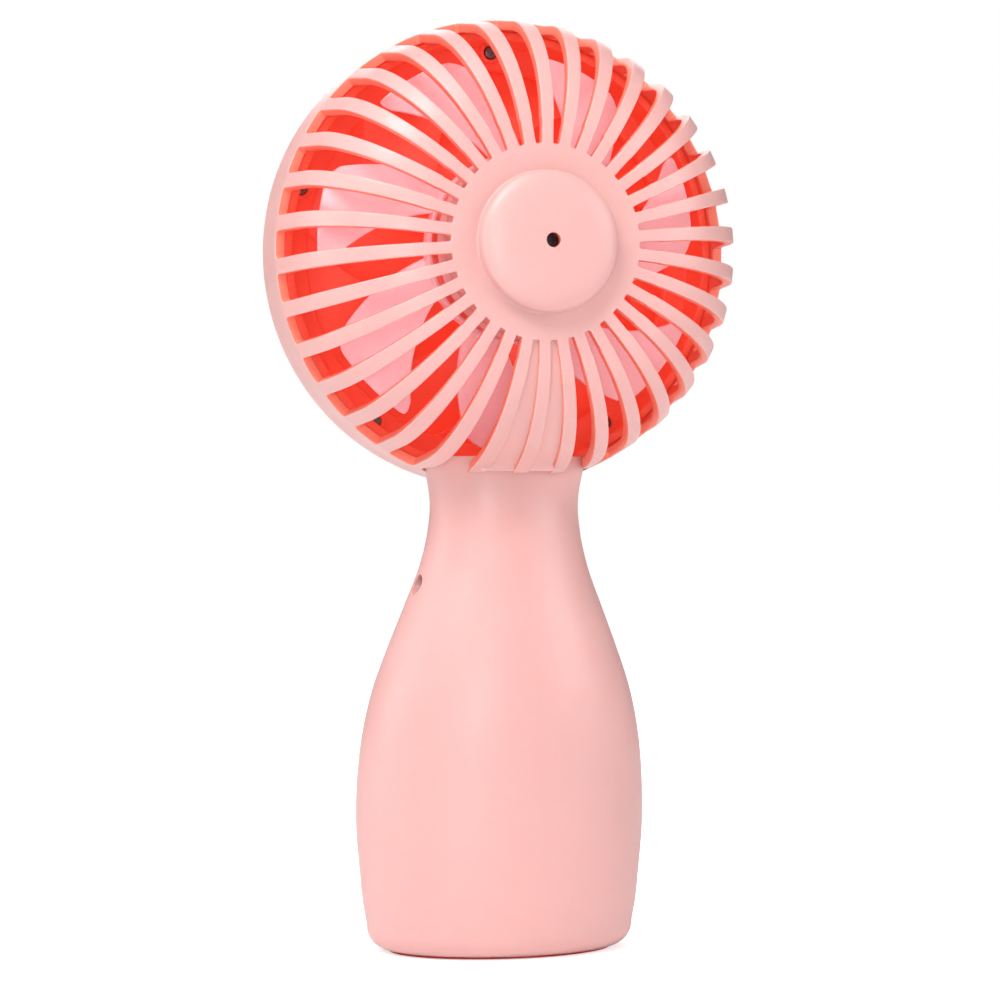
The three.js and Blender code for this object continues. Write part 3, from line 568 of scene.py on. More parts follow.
RIB_COUNT = 34
PITCH = 360 / RIB_COUNT
FIRST_RIB = 90.7
RIM_REAR = 2.2
SKIN = 1.8  # thickness of the guard's wall
EDGE = 0.22  # rounding of the slots' edges
SHOULDER = (20.2, 7.1, 21.45)  # centre (r, y) and radius of the dome's section
PLATE_RADIUS = 17.3
PLATE_Y = SHOULDER[1] + SHOULDER[2]
BOSS_RADIUS = 12.5
BOSS_ROUND = 5.6  # how far in the crown's rounding reaches
BOSS_FALL = 2.1  # and how far down
BOSS_HOLE = 1.3
SLOT_CORNER = 0.8
SLOT_END = 0.2
WEB_Z = 87.2
NECK_HALF = 15.75
NECK_CLEAR_Y = 13.2
NECK_SET_BACK = 2.6


def neck_clearance(y):
    """Half-width that the guard leaves free for the neck, whose section is an ellipse. The ring itself
    lies in the neck's saddle, so nothing is left free there."""
    if y < RIM_REAR + 0.05:
        return 0.0
    share = max(0.0, y - NECK_SET_BACK) / (NECK_CLEAR_Y - NECK_SET_BACK)
    return NECK_HALF * math.sqrt(max(0.0, 1 - share ** 2))


HALF_PITCH = 1e3  # stands for the plane half-way to the next rib


class Skin:
    """The guard's outer outline as a path from the rim's front edge to the boss's hole. s is 0 at the
    rim's rear edge, and depth goes into the plastic."""

    def __init__(self):
        foot = np.array((RIM_RADIUS - SHOULDER[0], RIM_REAR - SHOULDER[1]))
        start = math.degrees(math.atan2(foot[1], foot[0]) + math.acos(SHOULDER[2] / np.linalg.norm(foot)))
        shoulder = arc(*SHOULDER, start, 90, 60)
        rim = np.array((RIM_RADIUS, RIM_REAR))
        steps = np.linspace(0, 1, 24, endpoint=False)
        ring = [(RIM_RADIUS, lerp(RIM_FRONT, RIM_REAR, t)) for t in steps]
        side = [tuple(lerp(rim, np.array(shoulder[0]), t)) for t in steps]
        flat = [(lerp(SHOULDER[0], PLATE_RADIUS, t), PLATE_Y) for t in steps[1:]]
        wall = BOSS_RADIUS - 0.1
        crown = [(wall - BOSS_ROUND * (1 - math.cos(a)), BOSS_Y - BOSS_FALL * (1 - math.sin(a)))
                 for a in np.linspace(0, math.pi / 2, 16)]
        boss = [(PLATE_RADIUS, PLATE_Y), (14.5, PLATE_Y), (BOSS_RADIUS + 0.25, PLATE_Y),
                (BOSS_RADIUS, PLATE_Y + 0.25), (BOSS_RADIUS - 0.05, PLATE_Y + 1.0)]
        boss += crown + [(4.0, BOSS_Y), (BOSS_HOLE, BOSS_Y)]
        self.path = np.array(ring + side + shoulder + flat + boss)
        self.length = np.concatenate(([0], np.cumsum(np.linalg.norm(np.diff(self.path, axis=0), axis=1))))
        self.length -= self.length[len(ring)]
        tangent = np.gradient(self.path, self.length, axis=0)
        normal = np.stack((tangent[:, 1], -tangent[:, 0]), axis=1)
        self.normal = normal / np.linalg.norm(normal, axis=1)[:, None]
        self.slot_end = float(self.length[-len(boss)])

    def at(self, s, depth=0.0):
        r, y = (float(np.interp(s, self.length, self.path[:, k])) for k in (0, 1))
        nr, ny = (float(np.interp(s, self.length, self.normal[:, k])) for k in (0, 1))
        return r - nr * depth, y - ny * depth

    def spot(self, centre, x, s, depth=0.0):
        """A point x to the side of the middle plane of the rib at the angle centre."""
        r, y = self.at(s, depth)
        if abs(x) == HALF_PITCH:
            return around_head(r, centre + math.copysign(PITCH / 2, x), y)
        return around_head(r, centre + math.degrees(math.asin(x / r)), y)

    def s_at_radius(self, radius):
        """Where the shoulder passes a radius, coming from the rim."""
        on_shoulder = (self.path[:, 1] > SHOULDER[1]) & (self.length < self.slot_end)
        order = np.argsort(self.path[on_shoulder, 0])
        return float(np.interp(radius, self.path[on_shoulder, 0][order], self.length[on_shoulder][order]))


def rib_half_width(skin, s):
    """Half-width of a rib, with a small step out near the hub and a slow widening towards the rim."""
    from_hub = skin.slot_end - s
    return 1.06 + 0.1 * smoothstep(4.0, 4.6, from_hub) + 0.24 * smoothstep(5, 27, from_hub)


def guard_layers():
    """(how far the slots are widened, depth) from the skin, round both edges of a slot's wall."""
    layers = [(EDGE - b, EDGE - a) for a, b in (polar(EDGE, 90 * k / 4) for k in range(5))]
    return layers + [(widened, SKIN - depth) for widened, depth in reversed(layers)]


def slot_corner(x, s, radius, side, at_hub):
    """Outline points of a slot's rounded corner, ordered from the rim to the hub."""
    points = [polar(radius, 90 * k / 5) for k in range(6)]
    if at_hub:
        return [(side * (x - c), s + d) for c, d in points]
    return [(side * (x - d), s - c) for c, d in points]


class GuardMesh:
    """Collects the guard's faces rib by rib; shared vertices are merged when the piece is made."""

    def __init__(self, skin):
        self.skin, self.verts, self.faces, self.cut_s = skin, [], [], 0.0
        end = skin.slot_end
        step_out = [end - 4.7, end - 4.5, end - 4.35, end - 4.2, end - 4.0]
        middle = list(np.linspace(SLOT_CORNER, end - 5.2, 34))
        self.rib_s = middle + step_out + [end - 3, end - 2, end - 1, end - SLOT_END]
        self.ring_s = [float(skin.length[0]), -7.0, -3.5]
        self.hub_s = [s for s in skin.length if s > end + EDGE + 0.2]

    def add(self, points, flip=False):
        index = range(len(self.verts), len(self.verts) + len(points))
        self.verts += points
        self.faces.append(tuple(reversed(index)) if flip else tuple(index))

    def strip(self, first, second, flip=False):
        for k in range(len(first) - 1):
            self.add([first[k], first[k + 1], second[k + 1], second[k]], flip)

    def outline(self, widened, side, kind):
        """Edge of the slot beside a rib: points (x, s) from the rim, or the cut end, to the hub plate."""
        skin, end = self.skin, self.skin.slot_end
        rim_x = rib_half_width(skin, 0) + SLOT_CORNER
        hub_x = rib_half_width(skin, end) + SLOT_END
        points = []
        if kind != "cut":
            points.append((side * HALF_PITCH, -widened))
            points += slot_corner(rim_x, SLOT_CORNER, SLOT_CORNER + widened, side, False)
        else:
            points.append((side * (rib_half_width(skin, self.cut_s) - widened), self.cut_s))
        for s in self.rib_s[:-1]:
            if s > points[-1][1] + 0.01:
                points.append((side * (rib_half_width(skin, s) - widened), s))
        points += slot_corner(hub_x, end - SLOT_END, SLOT_END + widened, side, True)
        points.append((side * HALF_PITCH, end + widened))
        return points

    def place(self, centre, kind, x, s, depth):
        spot = self.skin.spot(centre, x, s, depth)
        if kind == "cut":
            if s != self.cut_s:
                return spot
            angle = math.atan2(spot[2] - HEAD_Z, spot[0])
            return ((WEB_Z - HEAD_Z) / math.tan(angle), spot[1], WEB_Z)
        free = neck_clearance(spot[1])
        if spot[2] > HEAD_Z - 35 or abs(spot[0]) > free:
            return spot
        radius = math.hypot(spot[0], spot[2] - HEAD_Z)
        return (math.copysign(free, spot[0]), spot[1], HEAD_Z - math.sqrt(radius ** 2 - free ** 2))

    def columns(self, s, left, right):
        """Sideways positions across a rib's flat top, with the ring's or plate's width where it has one."""
        half = rib_half_width(self.skin, min(max(s, 0), self.skin.slot_end)) - EDGE
        xs = [-half, -half / 2, 0, half / 2, half]
        corner = SLOT_CORNER if s < 1 else SLOT_END
        if left:
            xs = [-HALF_PITCH, -(half + EDGE + corner)] + xs
        if right:
            xs = xs + [half + EDGE + corner, HALF_PITCH]
        return xs

    def rib(self, centre, left, right):
        """One rib with its share of the ring and of the hub plate. left and right are open, neck or cut."""
        skin, end = self.skin, self.skin.slot_end
        cut = left == "cut"
        kind = "cut" if cut else "rib"
        if cut:
            radius = (HEAD_Z - WEB_Z) / abs(math.sin(math.radians(centre)))
            self.cut_s = skin.s_at_radius(radius)
        point = lambda x, s, depth: self.place(centre, kind, x, s, depth)
        for depth, flip in ((0.0, False), (SKIN, True)):
            rows = []
            if not cut:
                rows = [[(x, s) for x in self.columns(-EDGE, True, True)] for s in (*self.ring_s, -EDGE)]
            for first, second in zip(rows, rows[1:]):
                self.strip([point(*p, depth) for p in first], [point(*p, depth) for p in second], flip)
            start = self.cut_s if cut else -EDGE
            rib_s = [start] + [s for s in self.rib_s if s > start + 0.01] + [end + EDGE]
            for s1, s2 in zip(rib_s, rib_s[1:]):
                first = [point(x, s1, depth) for x in self.columns(s1, False, False)]
                second = [point(x, s2, depth) for x in self.columns(s2, False, False)]
                self.strip(first, second, flip)
            self.fans(centre, kind, depth, flip, left, right)
            across = self.columns(end, True, True)
            plate_angles = [math.copysign(PITCH / 2, x) if abs(x) == HALF_PITCH
                            else math.degrees(math.asin(x / PLATE_RADIUS)) for x in across]
            hub_first = [point(x, end + EDGE, depth) for x in across]
            for s in self.hub_s:
                r, y = skin.at(s, depth)
                hub_next = [around_head(r, centre + a, y) for a in plate_angles]
                self.strip(hub_first, hub_next, flip)
                hub_first = hub_next
        self.walls(centre, kind, left, right)
        self.close_ends(centre, kind, left, right, plate_angles)

    def fans(self, centre, kind, depth, flip, left, right):
        """Fills between a rib's flat top and its slots' rounded corners."""
        end = self.skin.slot_end
        for side, state in ((-1, left), (1, right)):
            for at_hub in [True] if state == "cut" else [False, True]:
                size = SLOT_END if at_hub else SLOT_CORNER
                half = rib_half_width(self.skin, end if at_hub else 0)
                edge = slot_corner(half + size, end - size if at_hub else size, size + EDGE, side, at_hub)
                apex = (side * (half - EDGE), end + EDGE if at_hub else -EDGE)
                for a, b in zip(edge, edge[1:]):
                    self.add([self.place(centre, kind, *p, depth) for p in (apex, a, b)], flip)

    def walls(self, centre, kind, left, right):
        """The slots' walls with their rounded edges."""
        for side, state in ((-1, left), (1, right)):
            loops = [[self.place(centre, kind, *p, depth) for p in self.outline(widened, side, state)]
                     for widened, depth in guard_layers()]
            for first, second in zip(loops, loops[1:]):
                self.strip(first, second, side < 0)

    def close_ends(self, centre, kind, left, right, plate_angles):
        """Flat faces at the rim's front edge or the rib's cut end, and round the boss's hole."""
        skin = self.skin
        last = float(skin.length[-1])
        rims = [[around_head(skin.at(last, d)[0], centre + a, skin.at(last, d)[1]) for a in plate_angles]
                for d in (0.0, SKIN)]
        self.strip(rims[0], rims[1])
        cut = kind == "cut"
        s = self.cut_s if cut else self.ring_s[0]
        xs = self.columns(s if cut else -EDGE, not cut, not cut)
        ends = [[self.place(centre, kind, x, s, d) for x in xs] for d in (0.0, SKIN)]
        self.strip(ends[0], ends[1], True)
        for side, state in ((-1, left), (1, right)):
            if state == "cut":
                half = rib_half_width(skin, s)
                self.add([self.place(centre, kind, side * (half - w), s, d) for w, d in guard_layers()])
            if state == "neck":
                loop = [(s, 0.0) for s in self.ring_s] + [(-w, d) for w, d in guard_layers()]
                loop += [(s, SKIN) for s in reversed(self.ring_s)]
                self.add([self.place(centre, kind, side * HALF_PITCH, s, d) for s, d in loop])


def guard_states(k):
    """What lies beside rib k on either side: an open slot, the neck, or the gap below the cut ends."""
    lowest = RIB_COUNT // 2
    if abs(k - lowest) <= 1:
        return "cut", "cut"
    if k == lowest - 2:
        return "open", "neck"
    if k == lowest + 2:
        return "neck", "open"
    return "open", "open"


def make_guard():
    skin = Skin()
    mesh = GuardMesh(skin)
    for k in range(RIB_COUNT):
        mesh.rib(FIRST_RIB + k * PITCH, *guard_states(k))
    make("guard_moulding", mesh.verts, mesh.faces, "rear_guard", "pink_shell", "guard_pink_painted_bounce")
    make_web(skin)
    make_cup()


def make_web(skin):
    """Solid panel between the three lowest ribs, a little below their tops."""
    recess, wall, reach = 0.7, 1.0, PITCH + 0.6
    stop = skin.s_at_radius(HEAD_Z - WEB_Z - 0.3)

    def place(u, w, v):
        s = lerp(stop, skin.slot_end, w)
        angle = FIRST_RIB + 180 + lerp(-reach, reach, u)
        r, y = skin.at(s, recess + wall * v)
        spot = around_head(r, angle, y)
        if w == 0:
            return (spot[0], spot[1], WEB_Z + 0.3)
        return spot

    verts, faces = bent_block(12, 36, place)
    make("guard_web", verts, faces, "rear_guard", "pink_shell", "guard_pink_painted_bounce")


def make_cup():
    """The motor cup's skirt inside the hub, open at the bottom for the wires."""
    outer, inner, front, rear = PLATE_RADIUS, 15.3, 19.0, PLATE_Y - 1.0
    groove_front, groove_rear, groove_depth = 23.5, 24.7, 0.5
    gap = 11.5
    section = rounded([
        (inner, front, 0.3), (outer, front, 0.3), (outer, groove_front, 0.1),
        (outer - groove_depth, groove_front, 0.1), (outer - groove_depth, groove_rear, 0.1),
        (outer, groove_rear, 0.1), (outer, rear, 0), (inner, rear, 0)])
    upper_from = 24.4
    verts = []
    steps = 100
    for k in range(steps + 1):
        angle = 270 + gap + (360 - 2 * gap) * k / steps
        verts += [around_head(r, angle, y) for r, y in section]
    bridge = bent_block(8, 1, lambda u, w, v: around_head(
        lerp(outer, inner, v), 270 + lerp(-gap, gap, u), lerp(upper_from, rear, w)))
    verts, faces = joined([(verts, bar_faces(steps + 1, len(section))), bridge])
    make("guard_cup", verts, faces, "rear_guard", "pink_shell", "guard_pink_painted_bounce")


# ---- Fan wheel ----

BLADES = 7
FIRST_BLADE = 95.1
BLADE_RADIUS = 36.0
WHEEL_RADIUS = 17.0
WHEEL_FRONT = 7.4
WHEEL_REAR = 11.9
INLET_Y = 7.0
OUTLET_Y = 3.2
ROOT_SINK = 0.8  # how far a blade runs into the hub
ROOT_TURN = 30
ROOT_SWEEP, TIP_SWEEP = 24, 31.5
ROOT_THICKNESS, TIP_THICKNESS = 1.15, 0.8
BLADE_CAMBER = 0.9
TIP_ROUND = 0.12  # share of the blade's width over which each corner of the tip is rounded
INLET_CUT, OUTLET_CUT = 2.6, 1.6


def blade_place(first):
    """Spot on a blade: u from hub to tip, w from the inlet edge to the outlet edge, v through it."""
    span = BLADE_RADIUS - WHEEL_RADIUS + ROOT_SINK

    def place(u, w, v):
        inlet_corner = max(0, 1 - w / TIP_ROUND)
        outlet_corner = max(0, (w - 1 + TIP_ROUND) / TIP_ROUND)
        tip = BLADE_RADIUS - INLET_CUT * inlet_corner ** 2 - OUTLET_CUT * outlet_corner ** 2
        radius = lerp(WHEEL_RADIUS - ROOT_SINK, tip, u)
        share = max(0.0, (radius - WHEEL_RADIUS + ROOT_SINK) / span)
        inlet = lerp(WHEEL_REAR - ROOT_SINK, INLET_Y, share)
        outlet = lerp(WHEEL_FRONT + 0.9, OUTLET_Y, share)
        y = lerp(inlet, outlet, w) + BLADE_CAMBER * share * math.sin(math.pi * w)
        angle = first + ROOT_TURN * (1 - share) + lerp(ROOT_SWEEP, TIP_SWEEP, share) * w
        return around_head(radius, angle, y + (0.5 - v) * lerp(ROOT_THICKNESS, TIP_THICKNESS, share))

    return place


def make_impeller():
    hub = lathe([
        (0, WHEEL_FRONT - 0.7, 0), (6, WHEEL_FRONT - 0.7, 3), (15.6, WHEEL_FRONT, 3),
        (WHEEL_RADIUS, WHEEL_FRONT + 0.9, 0.9), (WHEEL_RADIUS, WHEEL_REAR, 0.25), (15.6, WHEEL_REAR, 0.25),
        (15.4, WHEEL_FRONT + 1.9, 0.6), (3.7, WHEEL_FRONT + 1.4, 0.6), (3.6, WHEEL_REAR - 0.6, 0.3),
        (1.25, WHEEL_REAR - 0.6, 0.1), (1.25, WHEEL_FRONT + 1, 0), (0, WHEEL_FRONT + 1, 0)],
        120, closed=False)
    blades = [bent_block(16, 22, blade_place(FIRST_BLADE + 360 / BLADES * k)) for k in range(BLADES)]
    wheel = make("fan_wheel_moulding", *joined([hub] + blades), "impeller", "pink_blades", body="fan_wheel")
    soften(wheel, 0.22)


# ---- Front shell, grille and cap ----

LUGS = 5
LUG_CIRCLE = 38.0
LUG_REAR = -5.7
SHELL_REAR = 1.1
SHELL_OUTER, SHELL_INNER = 40.8, 39.2
FLANGE_INNER = 34.8
FLANGE_REAR = -6.8
FLANGE_FRONT = -8.6
BEZEL_FRONT = -12.4
GRILLE_OPENING = 36.0
GRILLE_OUTER = 39.7
GRILLE_HUB = 11.5
VANES = 9
FIRST_VANE = 5
VANE_THICKNESS = 0.9
VANE_WIDTH, VANE_SWEEP = 44, 42
STEM_LOW, STEM_HIGH = (-6.3, -3.0, 74.9), (6.3, 0.6, 87.9)


def lug_spot(k):
    x, z = polar(LUG_CIRCLE, 90 + 360 / LUGS * k)
    return x, HEAD_Z + z


def make_front_shell():
    parts = [lathe([
        (SHELL_OUTER, SHELL_REAR, 0.3), (SHELL_OUTER, -8.7, 0), (42.3, -8.7, 0.2), (41.8, -10.2, 1.5),
        (41.0, BEZEL_FRONT, 0.6), (40.0, BEZEL_FRONT, 0.3), (40.0, FLANGE_FRONT, 0),
        (FLANGE_INNER, FLANGE_FRONT, 0.3), (FLANGE_INNER, FLANGE_REAR, 0.5), (SHELL_INNER, FLANGE_REAR, 0.8),
        (SHELL_INNER, SHELL_REAR, 0.3)], 204, steps=5)]
    for k in range(LUGS):
        parts.append(lathe([
            (1.0, FLANGE_FRONT + 0.4, 0), (2.35, FLANGE_FRONT + 0.4, 0), (2.1, LUG_REAR, 0.35),
            (1.45, LUG_REAR, 0.1), (1.4, -6.5, 0), (1.0, -6.5, 0)], 40, along_y(*lug_spot(k))))
    make("front_shell_ring", *joined(parts), "front_shell", "coral")
    soften(make("front_shell_stem", *block(STEM_LOW, STEM_HIGH), "front_shell", "coral"), 0.6, 3)


def vane_place(first):
    """Spot on an outlet vane: u across it, w from the hub to the ring, v through it."""

    def place(u, w, v):
        radius = lerp(GRILLE_HUB - 0.8, GRILLE_OPENING + 0.6, w)
        y = lerp(-12.0, -9.6 + 2.8 * math.sin(math.pi * w), u) + (0.5 - v) * VANE_THICKNESS
        return around_head(radius, first + VANE_WIDTH * u + VANE_SWEEP * w ** 1.3, y)

    return place


def make_grille():
    ring = lathe([
        (GRILLE_OPENING, -12.6, 0.5), (GRILLE_OUTER, -12.6, 0.6), (GRILLE_OUTER, -8.9, 0.3),
        (GRILLE_OPENING, -8.9, 0.5)], 204)
    hub = lathe([
        (0, -12.2, 0), (GRILLE_HUB, -12.2, 0.8), (GRILLE_HUB, -9.3, 0.8), (0, -9.3, 0)], 90, closed=False)
    vanes = [bent_block(14, 24, vane_place(FIRST_VANE + 360 / VANES * k)) for k in range(VANES)]
    grille = make("outlet_grille", *joined([ring, hub] + vanes), "front_grille", "coral")
    soften(grille, 0.2)
    cap = lathe([
        (0, -13.8, 0), (7.4, -13.6, 2), (9.9, -12.9, 0.8), (10.2, -12.4, 0.1), (0, -12.4, 0)],
        96, closed=False)
    make("grille_cap", *cap, "front_cap", "pink_shell")


# ---- Motor and its holder ----

MOTOR_FRONT = 13.4
MOTOR_REAR = SHAFT_HIGH[1]
MOTOR_RADIUS, MOTOR_BORE = 12.2, 11.4
HOLDER_OUTER, HOLDER_INNER = 16.6, 15.0
NECK_BORE = 2.5
BUSH_BORE = 1.3


def sleeve_corners(inner, outer, start, end, inner_round, outer_round):
    return [(inner, start, inner_round), (outer, start, outer_round),
            (outer, end, outer_round), (inner, end, inner_round)]


def make_motor():
    holder = lathe([
        (0.95, 29.6, 0), (2.6, 29.6, 0.3), (2.6, 26.4, 0.4), (HOLDER_INNER, 26.4, 0.5),
        (HOLDER_INNER, 18.7, 0), (HOLDER_OUTER, 18.7, 0.3), (HOLDER_OUTER, 12.6, 0.4), (12.5, 12.6, 0.4),
        (12.5, MOTOR_REAR + 1.3, 0.4), (0.95, MOTOR_REAR + 1.3, 0)], 120)
    # the motor cup takes the darker coral, painted shade for its place deep in the hub
    make("motor_cup", *holder, "motor_holder", "coral", "coral_dark")
    can = lathe([
        (NECK_BORE, MOTOR_FRONT - 1.1, 0.1), (3.4, MOTOR_FRONT - 1.1, 0.2), (3.4, MOTOR_FRONT, 0.3),
        (MOTOR_RADIUS, MOTOR_FRONT, 1.0), (MOTOR_RADIUS, MOTOR_REAR, 0.1), (MOTOR_BORE, MOTOR_REAR, 0.1),
        (MOTOR_BORE, MOTOR_FRONT + 0.8, 0.6), (NECK_BORE, MOTOR_FRONT + 0.8, 0.1)], 96)
    make("motor_housing", *can, "motor_can", "steel")
    cap_front, cap_rear = MOTOR_REAR - 1.7, MOTOR_REAR - 0.1
    cap = lathe([
        (NECK_BORE, cap_front, 0.1), (11.1, cap_front, 0.2), (11.1, cap_rear, 0.3),
        (NECK_BORE, cap_rear, 0.3)], 96)
    make("motor_back", *cap, "motor_end_cap", "white_nylon")
    for name, node, start, end in (("bush_front", "front_bush", MOTOR_FRONT - 1, MOTOR_FRONT + 1.4),
                                   ("bush_rear", "rear_bush", MOTOR_REAR - 1.6, MOTOR_REAR - 0.2)):
        make(name, *lathe(sleeve_corners(BUSH_BORE, 2.2, start, end, 0.1, 0.15), 48), node, "bronze")
    front = SHAFT_LOW[1]
    shaft = lathe([
        (0, front, 0), (1, front, 0.2), (1, MOTOR_REAR, 0.2), (0, MOTOR_REAR, 0)], 40, closed=False)
    make("shaft", *shaft, "motor_shaft", "steel", body="fan_wheel")
    bars = lathe(sleeve_corners(BUSH_BORE, 2.1, MOTOR_FRONT + 7.3, MOTOR_FRONT + 8.4, 0.1, 0.15), 36)
    make("commutator_bars", *bars, "commutator", "copper", body="fan_wheel")


# ---- Screws ----

HEAD_THICKNESS = 0.75
RECESS_DEPTH = 0.42
RECESS_REACH = 0.62  # of the head's radius
LUG_SCREW_Y = -5.75
BOSS_SCREW_Y = 31.9
FOOT_SCREW_Z = 0.4
FOOT_SCREW_X = 14


def make_screw(name, node, place, head, shank, length, slot_width, material="screw_steel"):
    """Pan-head screw with a cross recess. place maps (r, degrees, t), with t from the head inwards."""
    body = lathe([
        (0, 0, 0), (head, 0, head * 0.35), (head, HEAD_THICKNESS, 0.1), (shank, HEAD_THICKNESS, 0.05),
        (shank, length - shank, 0), (shank * 0.3, length, 0.05), (0, length, 0)], 40, place, closed=False)
    screw = make(name, *body, node, "screw_steel", material)
    half, arm = slot_width / 2, head * RECESS_REACH
    cross = [
        (half, half), (half, arm), (-half, arm), (-half, half), (-arm, half), (-arm, -half),
        (-half, -half), (-half, -arm), (half, -arm), (half, -half), (arm, -half), (arm, half)]
    verts = [place(math.hypot(x, y), math.degrees(math.atan2(y, x)), t)
             for t in (-1.0, RECESS_DEPTH) for x, y in cross]
    carve(screw, [cutter(verts, bar_faces(2, len(cross)))], solver="FAST")


def make_screws():
    for k in range(LUGS):
        inward = along_y(*lug_spot(k))
        make_screw(f"lug_screw_{k + 1}", f"grille_screw_{k + 1}",
                   lambda r, a, t, p=inward: p(r, a, LUG_SCREW_Y - t), 1.3, 0.7, 5.8, 0.4)
    middle = along_y(0, HEAD_Z)
    # the boss screw sits down in its hole and takes the darker steel, painted shade
    make_screw("boss_screw", "guard_screw",
               lambda r, a, t: middle(r, a, BOSS_SCREW_Y - t), 1.15, 0.7, 5.8, 0.4, "dark_screw")
    for k, x in ((1, -FOOT_SCREW_X), (2, FOOT_SCREW_X)):
        make_screw(f"foot_screw_{k}", f"base_screw_{k}",
                   lambda r, a, t, p=along_z(x): p(r, a, FOOT_SCREW_Z + t), 2.1, 0.9, 9.2, 0.5)


# ---- Handle ----

SECTIONS = [  # height and half-width
    (5.6, 25.0), (8.2, 25.5), (14.2, 26.15), (23.7, 26.9), (31.2, 26.75), (40.7, 25.7), (48.2, 23.95),
    (55.2, 21.45), (62.9, 18.45), (70.2, 15.7), (77.6, 14.1), (81.2, 13.85), (85, 14.25), (87.7, 14.85),
    (90.6, 15.6),
]
BELLY_DEPTH = 0.7
WAIST_DEPTH = 0.76
NECK_DEPTH = 0.66
HANDLE_WALL = 1.8
NECK_TOP = SLEEVE_HIGH[2]
HANDLE_BOTTOM = SLEEVE_LOW[2] - 0.65
CORNER_RADIUS = 4.1


def spline(points):
    """Smooth curve through points, as a function; its slopes are those of a parabola through three."""
    xs, ys = (np.array(c, float) for c in zip(*points))
    slopes = np.gradient(ys, xs)

    def value(x):
        i = int(np.clip(np.searchsorted(xs, x) - 1, 0, len(xs) - 2))
        width = xs[i + 1] - xs[i]
        t = (x - xs[i]) / width
        return float(
            ys[i] * (1 + 2 * t) * (1 - t) ** 2 + slopes[i] * width * t * (1 - t) ** 2
            + ys[i + 1] * t * t * (3 - 2 * t) + slopes[i + 1] * width * t * t * (t - 1))

    return value


handle_half_width = spline(SECTIONS)


def depth_ratio(z):
    waist = lerp(BELLY_DEPTH, WAIST_DEPTH, smoothstep(30, 62, z))
    return lerp(waist, NECK_DEPTH, smoothstep(72, 88, z))


def set_back(z):
    return NECK_SET_BACK * smoothstep(20, 85, z)


def handle_rings(inset, bottom, top):
    """(half-width, half-depth, height) up the handle, with its rounded bottom corner."""
    rings = []
    start = HANDLE_BOTTOM + CORNER_RADIUS
    for r, z in arc(handle_half_width(start + 0.2) - CORNER_RADIUS, start, CORNER_RADIUS - inset, -90, 0, 12):
        rings.append((r, r * BELLY_DEPTH, max(z, bottom)))
    steps = 84
    for k in range(1, steps + 1):
        z = lerp(start, top, k / steps)
        half = handle_half_width(max(z, start + 0.2))
        rings.append((half - inset, half * depth_ratio(z) - inset, z))
    return rings


def handle_body(inset, bottom, top, sides=160):
    rings = handle_rings(inset, bottom, top)
    rings = [(0, 0, rings[0][2])] + rings + [(0, 0, rings[-1][2])]
    verts = []
    for a, b, z in rings:
        for k in range(sides):
            angle = 2 * math.pi * k / sides
            verts.append((a * math.cos(angle), b * math.sin(angle) + set_back(z), z))
    return verts, grid_faces(len(rings), sides, wrap_columns=True)


BUTTON_Z = 42.0
USB_Z = 12.0
LENS_Z = 30.0
BUTTON_BORE, BEZEL_BORE, LENS_BORE = 5.8, 7.9, 1.3
LANYARD = ((67.0, 4.0), (56.8, -16.0))  # height and angle round the handle
LANYARD_RADIUS = 1.8
FAR_FRONT = -24.0  # in front of the whole handle


def rounded_slot(width, height, radius, start, end, z):
    """A bar along Y with a rounded rectangular section, centred at height z."""
    outline = rounded([(-width / 2, -height / 2, radius), (width / 2, -height / 2, radius),
                       (width / 2, height / 2, radius), (-width / 2, height / 2, radius)], steps=6)
    verts = [(a, y, z + b) for y in (start, end) for a, b in outline]
    return verts, bar_faces(2, len(outline))


def make_sleeve():
    outer = handle_body(0, HANDLE_BOTTOM, NECK_TOP)
    sleeve = make("handle_moulding", *outer, "handle_sleeve", "pink_shell")
    inner = handle_body(HANDLE_WALL, HANDLE_BOTTOM - 1, 81.4, 96)
    bottom = [(0, -1), (19.6, -1), (19.6, 4.5), (0, 4.5)]
    open_bottom = turned(bottom, 96, along_z(0, BELLY_DEPTH), closed=False)
    saddle = rod_y(RIM_RADIUS + 0.3, -30, 2.5, HEAD_Z, 256)
    stem = block((-6.6, -3.3, 80.4), (6.6, 0.9, 92))
    wires = block((-2.6, 5.4, 80.4), (2.6, 9.2, 88.9))
    way_out = block((-2.6, 8, 87.9), (2.6, 16, 92))
    button = rod_y(BUTTON_BORE, FAR_FRONT, -12, BUTTON_Z, 64)
    bezel = rod_y(BEZEL_BORE, FAR_FRONT, -16.9, BUTTON_Z, 64)
    lens = rod_y(LENS_BORE, FAR_FRONT, -12, LENS_Z, 32)
    usb = rounded_slot(9.6, 3.8, 1.7, FAR_FRONT, -13, USB_Z)
    tools = [cutter(*t) for t in (inner, open_bottom, saddle, stem, wires, way_out, button, bezel, lens, usb)]
    for z, angle in LANYARD:
        near, far = 9.0, 40.0  # from inside the wall to outside it
        bore = [(0, near), (LANYARD_RADIUS, near), (LANYARD_RADIUS, far), (0, far)]
        bar, faces = turned(bore, 40, along_y(0, 0), closed=False)
        c, d = polar(1, angle)
        hole = [(t * c - a * d, t * d + a * c + set_back(z), z + b) for a, t, b in bar]
        tools.append(cutter(hole, faces))
    carve(sleeve, tools)
    soften(sleeve, 0.25, 2, 50)


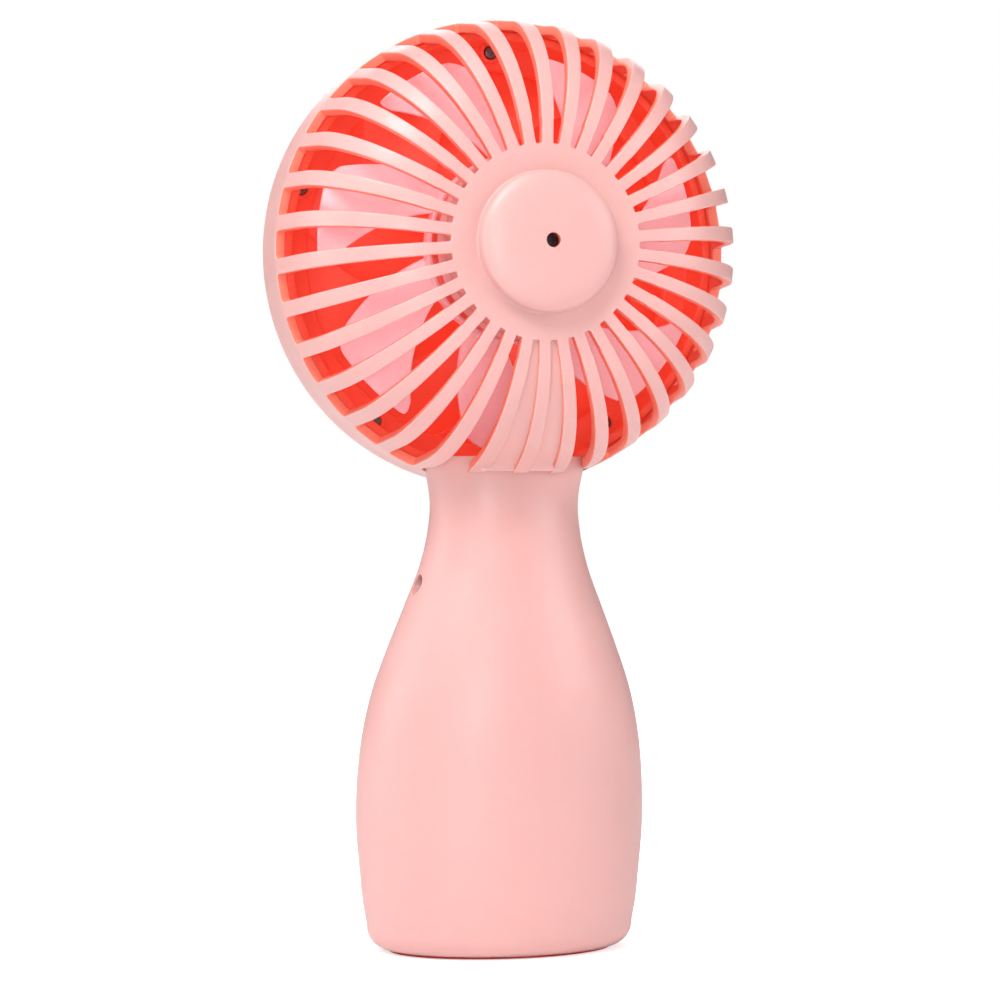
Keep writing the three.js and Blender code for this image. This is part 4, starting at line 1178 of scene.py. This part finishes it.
def make_base():
    # the foot plate takes the darker coral, painted shade under the handle
    plate = make("foot_plate", *lathe([
        (0, 0, 0), (20.7, 0, 0.1), (20.8, 0.3, 0.1), (19.4, 0.3, 0), (19.4, 3.6, 0.4), (0, 3.6, 0)],
        144, along_z(0, BELLY_DEPTH * 0.96), closed=False), "base_plate", "coral", "coral_dark")
    seat = [(0, -1), (2.4, -1), (2.4, 1.7), (1.2, 1.7), (1.2, 5), (0, 5)]
    carve(plate, [cutter(*turned(seat, 40, along_z(x), closed=False)) for x in (-FOOT_SCREW_X, FOOT_SCREW_X)])


# ---- Button, socket and lamp ----


def make_controls():
    at_button = along_y(0, BUTTON_Z)
    face = box_mm("power_button")[0][1]
    cap = lathe([
        (0, face + 0.25, 0), (3.4, face + 0.12, 2), (4.6, face, 0.5), (5.5, face + 0.7, 0.4), (5.5, -14.0, 0),
        (6.8, -14.0, 0.1), (6.8, -13.3, 0.1), (4.9, -13.3, 0.1), (4.9, -16.7, 0.3), (1.5, -16.7, 0.2),
        (1.5, -15.5, 0.2), (0, -15.5, 0)], 96, at_button, closed=False)
    make("button_cap", *cap, "power_button", "coral", body="button")
    ring = lathe([
        (6.1, -17.1, 0), (6.1, -18.1, 0.25), (6.9, -18.3, 0.5), (7.6, -17.7, 0.35), (7.6, -17.1, 0.05)],
        96, at_button)
    make("button_ring", *ring, "button_bezel", "pink_shell")
    plunger = lathe([
        (0, -15.2, 0), (1.6, -15.2, 0.25), (1.6, -13.3, 0.1), (0, -13.3, 0)], 40, at_button, closed=False)
    make("plunger", *plunger, "switch_plunger", "black_plastic", body="button")
    lens = lathe([
        (0, -18.65, 0), (0.7, -18.6, 0.3), (1.0, -18.3, 0.2), (1.0, -12.7, 0.1), (0, -12.7, 0)],
        40, along_y(0, LENS_Z), closed=False)
    make("lamp_lens", *lens, "indicator_lens", "clear_plastic")
    outside = rounded_slot(9.0, 3.2, 1.45, -17, -10.7, USB_Z)
    shell = make("socket_shell", *outside, "usb_socket", "nickel")
    carve(shell, [cutter(*rounded_slot(8.4, 2.6, 1.2, -18, -12.4, USB_Z))])
    tongue = rounded_slot(6.6, 0.7, 0.2, -16.4, -12.2, USB_Z)
    make("socket_tongue", *tongue, "usb_socket", "black_plastic")


# ---- Pieces that keep their CAD shape ----

KEPT = {
    "ferrite": ("motor_magnet_1", "motor_magnet_2", "inductor"),
    "core_steel": ("motor_armature",),
    "copper_winding": ("winding_1", "winding_2", "winding_3"),
    "white_nylon": ("inner_frame",),
    "screw_steel": ("neck_screw_1", "neck_screw_2"),
    "cell_wrap": ("battery_cell",),
    "nickel": ("battery_tab_top", "battery_tab_bottom"),
    "board": ("circuit_board",),
    "black_plastic": ("control_chip", "switch_housing"),
    "clear_plastic": ("charge_led",),
    "wire_red": ("motor_wire_red", "battery_wire_red"),
    "wire_black": ("motor_wire_black", "battery_wire_black"),
}


def finish_kept_nodes():
    for material, nodes in KEPT.items():
        for node in nodes:
            slots = NODES[node].data.materials
            slots.clear()
            slots.append(MATERIALS[material])


make_camera()
make_stage()
MATERIALS = make_materials()
make_guard()
make_impeller()
make_front_shell()
make_grille()
make_motor()
make_screws()
make_sleeve()
make_base()
make_controls()
finish_kept_nodes()
